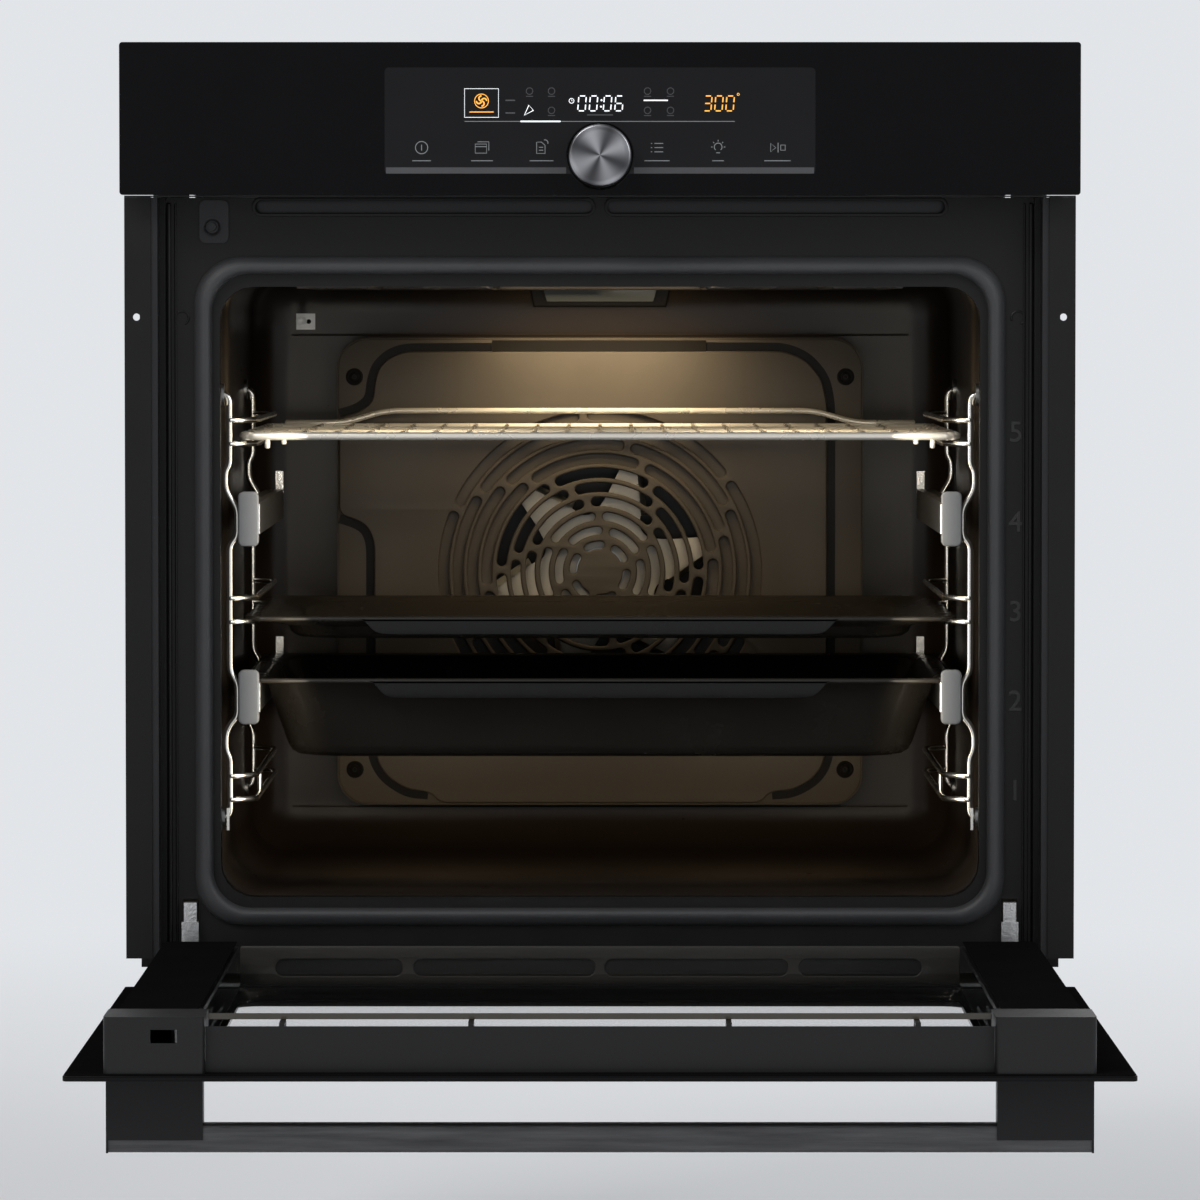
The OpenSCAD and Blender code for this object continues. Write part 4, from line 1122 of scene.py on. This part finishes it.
def make_door():
    """Both outer panes with their printed borders, the profiles, the handle and the hinge arms."""
    near, far = OUTER_LOW[1], OUTER_HIGH[1]
    low, high = OUTER_LOW[2], OUTER_HIGH[2]
    x1 = OUTER_HIGH[0]
    window_half, near_border, far_border, print_depth = 0.2207, 0.075, 0.084, 0.0008
    window = rounded(-window_half, window_half, near + near_border, far - far_border, 0.012)
    border = rounded(-x1 + print_depth, x1 - print_depth, near + print_depth, far - print_depth, 0.002)
    stamped("outer_print", [border, window], high - print_depth, high, 0.0002, "print", "door", facing="up")
    stamped("outer_pane_rim", [rounded(-x1, x1, near, far, 0.003), window], low, high - print_depth, 0.0006,
            "black_glass", "door", facing="up", stands_for=("outer_glass",))
    stamped("outer_window", [window], low + 0.0006, high - 0.001, 0.0001, "clear", "door", facing="up")
    x2 = INNER_HIGH[0]
    in_near, in_far = INNER_LOW[1], INNER_HIGH[1]
    in_low, in_high = INNER_LOW[2], INNER_HIGH[2]
    notch = CAPS_HIGH[1] + 0.0005
    inset = 0.2183
    outline = [(x2, in_far), (-x2, in_far), (-x2, notch), (-inset, notch), (-inset, in_near),
               (inset, in_near), (inset, notch), (x2, notch)]
    stamped("inner_pane", [outline], in_low, in_high - 0.0003, 0.0003, "clear", "door", facing="up",
            stands_for=("inner_glass",))
    clear_half = 0.2245
    for side, name in SIDES:
        a, b = sorted((side * clear_half, side * x2))
        stamped(f"inner_print_{name}", [rounded(a, b, notch, in_far, 0.0015)], in_high - 0.0003, in_high,
                0.0001, "print", "door", facing="up")
    bars = Soup()
    bars.box((-0.2175, in_near + 0.0004, in_low + 0.0002), (0.2175, in_near + 0.0052, in_low + 0.0007))
    bars.piece("inner_edge_print", "print", "door")
    edge = Soup()
    edge.box((-0.2182, in_near - 0.0001, in_low + 0.0002), (0.2182, in_near + 0.0003, in_high - 0.0004))
    edge.piece("inner_polished_edge", "edge", "door")
    paint("clear", "middle_glasses")
    paint("profile", "door_side_rails", "door_top_profile", "end_caps")
    paint("bracket", "handle_brackets")
    for name, width in (("end_caps", 0.0012), ("door_top_profile", 0.0005), ("handle_brackets", 0.0016),
                        ("handle_bar", 0.001)):
        add_bevel(name, width, 3)
    paint("brushed", "handle_bar")
    make_bottom_rail()
    paint("bright_steel", "hinge_arms", "hinge_latch_left", "hinge_latch_right")
    for name in ("hinge_arms", "hinge_latch_left", "hinge_latch_right"):
        add_bevel(name, 0.0004)


def make_bottom_rail():
    """The door's lower cross rail: a pressed face with four long recesses."""
    x1 = RAIL_HIGH[0]
    low, high = RAIL_LOW[2] + 0.002, RAIL_HIGH[2] - 0.0005
    face = RAIL_HIGH[1] - 0.002
    recesses = ((-0.202, -0.123), (-0.116, -0.003), (0.003, 0.117), (0.124, 0.2))
    slots = [rounded(a, b, 0.01, 0.0206, 0.005) for a, b in recesses]
    stamped("bottom_rail_face", [rounded(-x1, x1, low, high, 0.002)] + slots, face - 0.0022, face - 0.0004,
            0.0007, "rail_face", "door", stands_for=("door_bottom_rail",))
    stamped("bottom_rail_back", [rounded(-x1, x1, low, high, 0.001)], face - 0.0006, face + 0.0002, 0.0001,
            "profile", "door")
    foot = Soup()
    foot.box((-x1, face - 0.014, low - 0.0002), (x1, face, low + 0.0012))
    foot.piece("bottom_rail_foot", "frame", "door")


# ---------------- stage, light and camera

def area_light(name, spot, target, power, size, color=(1, 1, 1), seen=True, spread=180):
    """A flat lamp aimed at a target; the camera never sees it, and reflections only where it says."""
    lamp = bpy.data.lights.new(name, "AREA")
    lamp.energy = power
    lamp.color = color
    lamp.shape = "RECTANGLE"
    lamp.size, lamp.size_y = size
    lamp.spread = math.radians(spread)
    holder = bpy.data.objects.new(name, lamp)
    holder.location = spot
    holder.rotation_euler = (Vector(target) - Vector(spot)).to_track_quat("-Z", "Y").to_euler()
    holder.visible_camera = False
    holder.visible_glossy = seen
    bpy.context.scene.collection.objects.link(holder)


def make_stage():
    """A pale studio floor that fades, far off, into the pale surroundings."""
    half, drop = 60.0, 0.2
    floor_z = cad_box[0][2] - drop
    mesh = bpy.data.meshes.new("studio_floor")
    corners = [(x * half, y * half, floor_z) for x, y in ((-1, -1), (1, -1), (1, 1), (-1, 1))]
    mesh.from_pydata(corners, [], [(0, 1, 2, 3)])
    floor = bpy.data.objects.new("studio_floor", mesh)
    bpy.context.scene.collection.objects.link(floor)
    paint_mix = surface("studio_paint", None, (0.8, 0.81, 0.83), 0.7, spread=0.015, scale=2, specular=0.2)
    tree = paint_mix.node_tree
    where = tree.nodes.new("ShaderNodeTexCoord")
    reach = tree.nodes.new("ShaderNodeVectorMath")
    reach.operation = "LENGTH"
    join(where, "Object", reach, 0)
    fade = node_of(tree, "ShaderNodeMapRange", **{"From Min": 1.0, "From Max": 3.2})
    fade.interpolation_type = "SMOOTHSTEP"
    join(reach, "Value", fade, "Value")
    haze = node_of(tree, "ShaderNodeEmission", Color=PALE, Strength=1.0)
    both = tree.nodes.new("ShaderNodeMixShader")
    join(fade, "Result", both, "Fac")
    tree.links.new(tree.nodes["Principled BSDF"].outputs["BSDF"], both.inputs[1])
    join(haze, "Emission", both, 2)
    tree.links.new(both.outputs["Shader"], tree.nodes["Material Output"].inputs["Surface"])
    mesh.materials.append(paint_mix)
    world = bpy.data.worlds.new("studio")
    bpy.context.scene.world = world
    world.use_nodes = True
    tree = world.node_tree
    sky = tree.nodes["Background"]
    sky.inputs["Color"].default_value = PALE
    path = tree.nodes.new("ShaderNodeLightPath")
    diffuse = node_of(tree, "ShaderNodeMapRange", **{"To Min": 0.5, "To Max": 0.36})
    join(path, "Is Diffuse Ray", diffuse, "Value")
    seen = node_of(tree, "ShaderNodeMapRange", **{"To Max": 1.0})
    join(path, "Is Camera Ray", seen, "Value")
    join(diffuse, "Result", seen, "To Min")
    join(seen, "Result", sky, "Strength")


def make_lights():
    """Three studio lights, and small warm ones inside the cavity for the glow of its lamp."""
    area_light("key", (-1.6, -2.2, 2.6), (0, 0, 0.25), 46, (1.6, 1.2), (1.0, 0.99, 0.97))
    area_light("fill", (2.2, -2.4, 1.6), (0, 0, 0.25), 24, (1.6, 1.6), (0.96, 0.98, 1.0))
    area_light("back", (0.4, 2.6, 2.2), (0, 0.3, 0.3), 40, (2.0, 1.2))
    warm = (1.0, 0.8, 0.52)
    area_light("cavity_lamp", (0, 0.35, 0.43), (0, 0.43, 0.345), 0.24, (0.14, 0.05), warm,
               seen=False, spread=115)
    for side in (-1, 1):
        area_light(f"cavity_top_{side}", (side * 0.13, 0.1, 0.433), (side * 0.06, 0.3, 0.2), 0.16,
                   (0.12, 0.05), warm, seen=False, spread=110)
        area_light(f"cavity_side_{side}", (side * 0.195, 0.042, 0.24), (side * 0.245, 0.13, 0.24), 0.075,
                   (0.02, 0.34), (1.0, 0.9, 0.72), spread=120)
        area_light(f"cavity_low_{side}", (side * 0.13, 0.16, 0.128), (side * 0.1, 0.44, 0.075), 0.13,
                   (0.14, 0.02), warm, seen=False, spread=140)


def make_camera():
    """Eye level with the middle of the door opening, looking slightly down, from a long way off."""
    camera = bpy.data.cameras.new("camera")
    camera.lens = 205.5
    camera.sensor_width = 36.0
    camera.clip_start = 0.05
    camera.clip_end = 60.0
    holder = bpy.data.objects.new("camera", camera)
    holder.location = (0, -4.269, 0.4241)
    holder.rotation_euler = (math.radians(90 - 2.42), 0, 0)
    bpy.context.scene.collection.objects.link(holder)
    bpy.context.scene.camera = holder


make_camera()
make_stage()
make_lights()
make_chassis()
make_front_details()
make_gasket()
make_liner()
make_baffle()
make_fan()
make_lamp_and_sensor()
make_racks()
make_rails()
make_shelf()
make_trays()
make_panel()
make_door()
bpy.context.scene.view_settings.view_transform = "Standard"
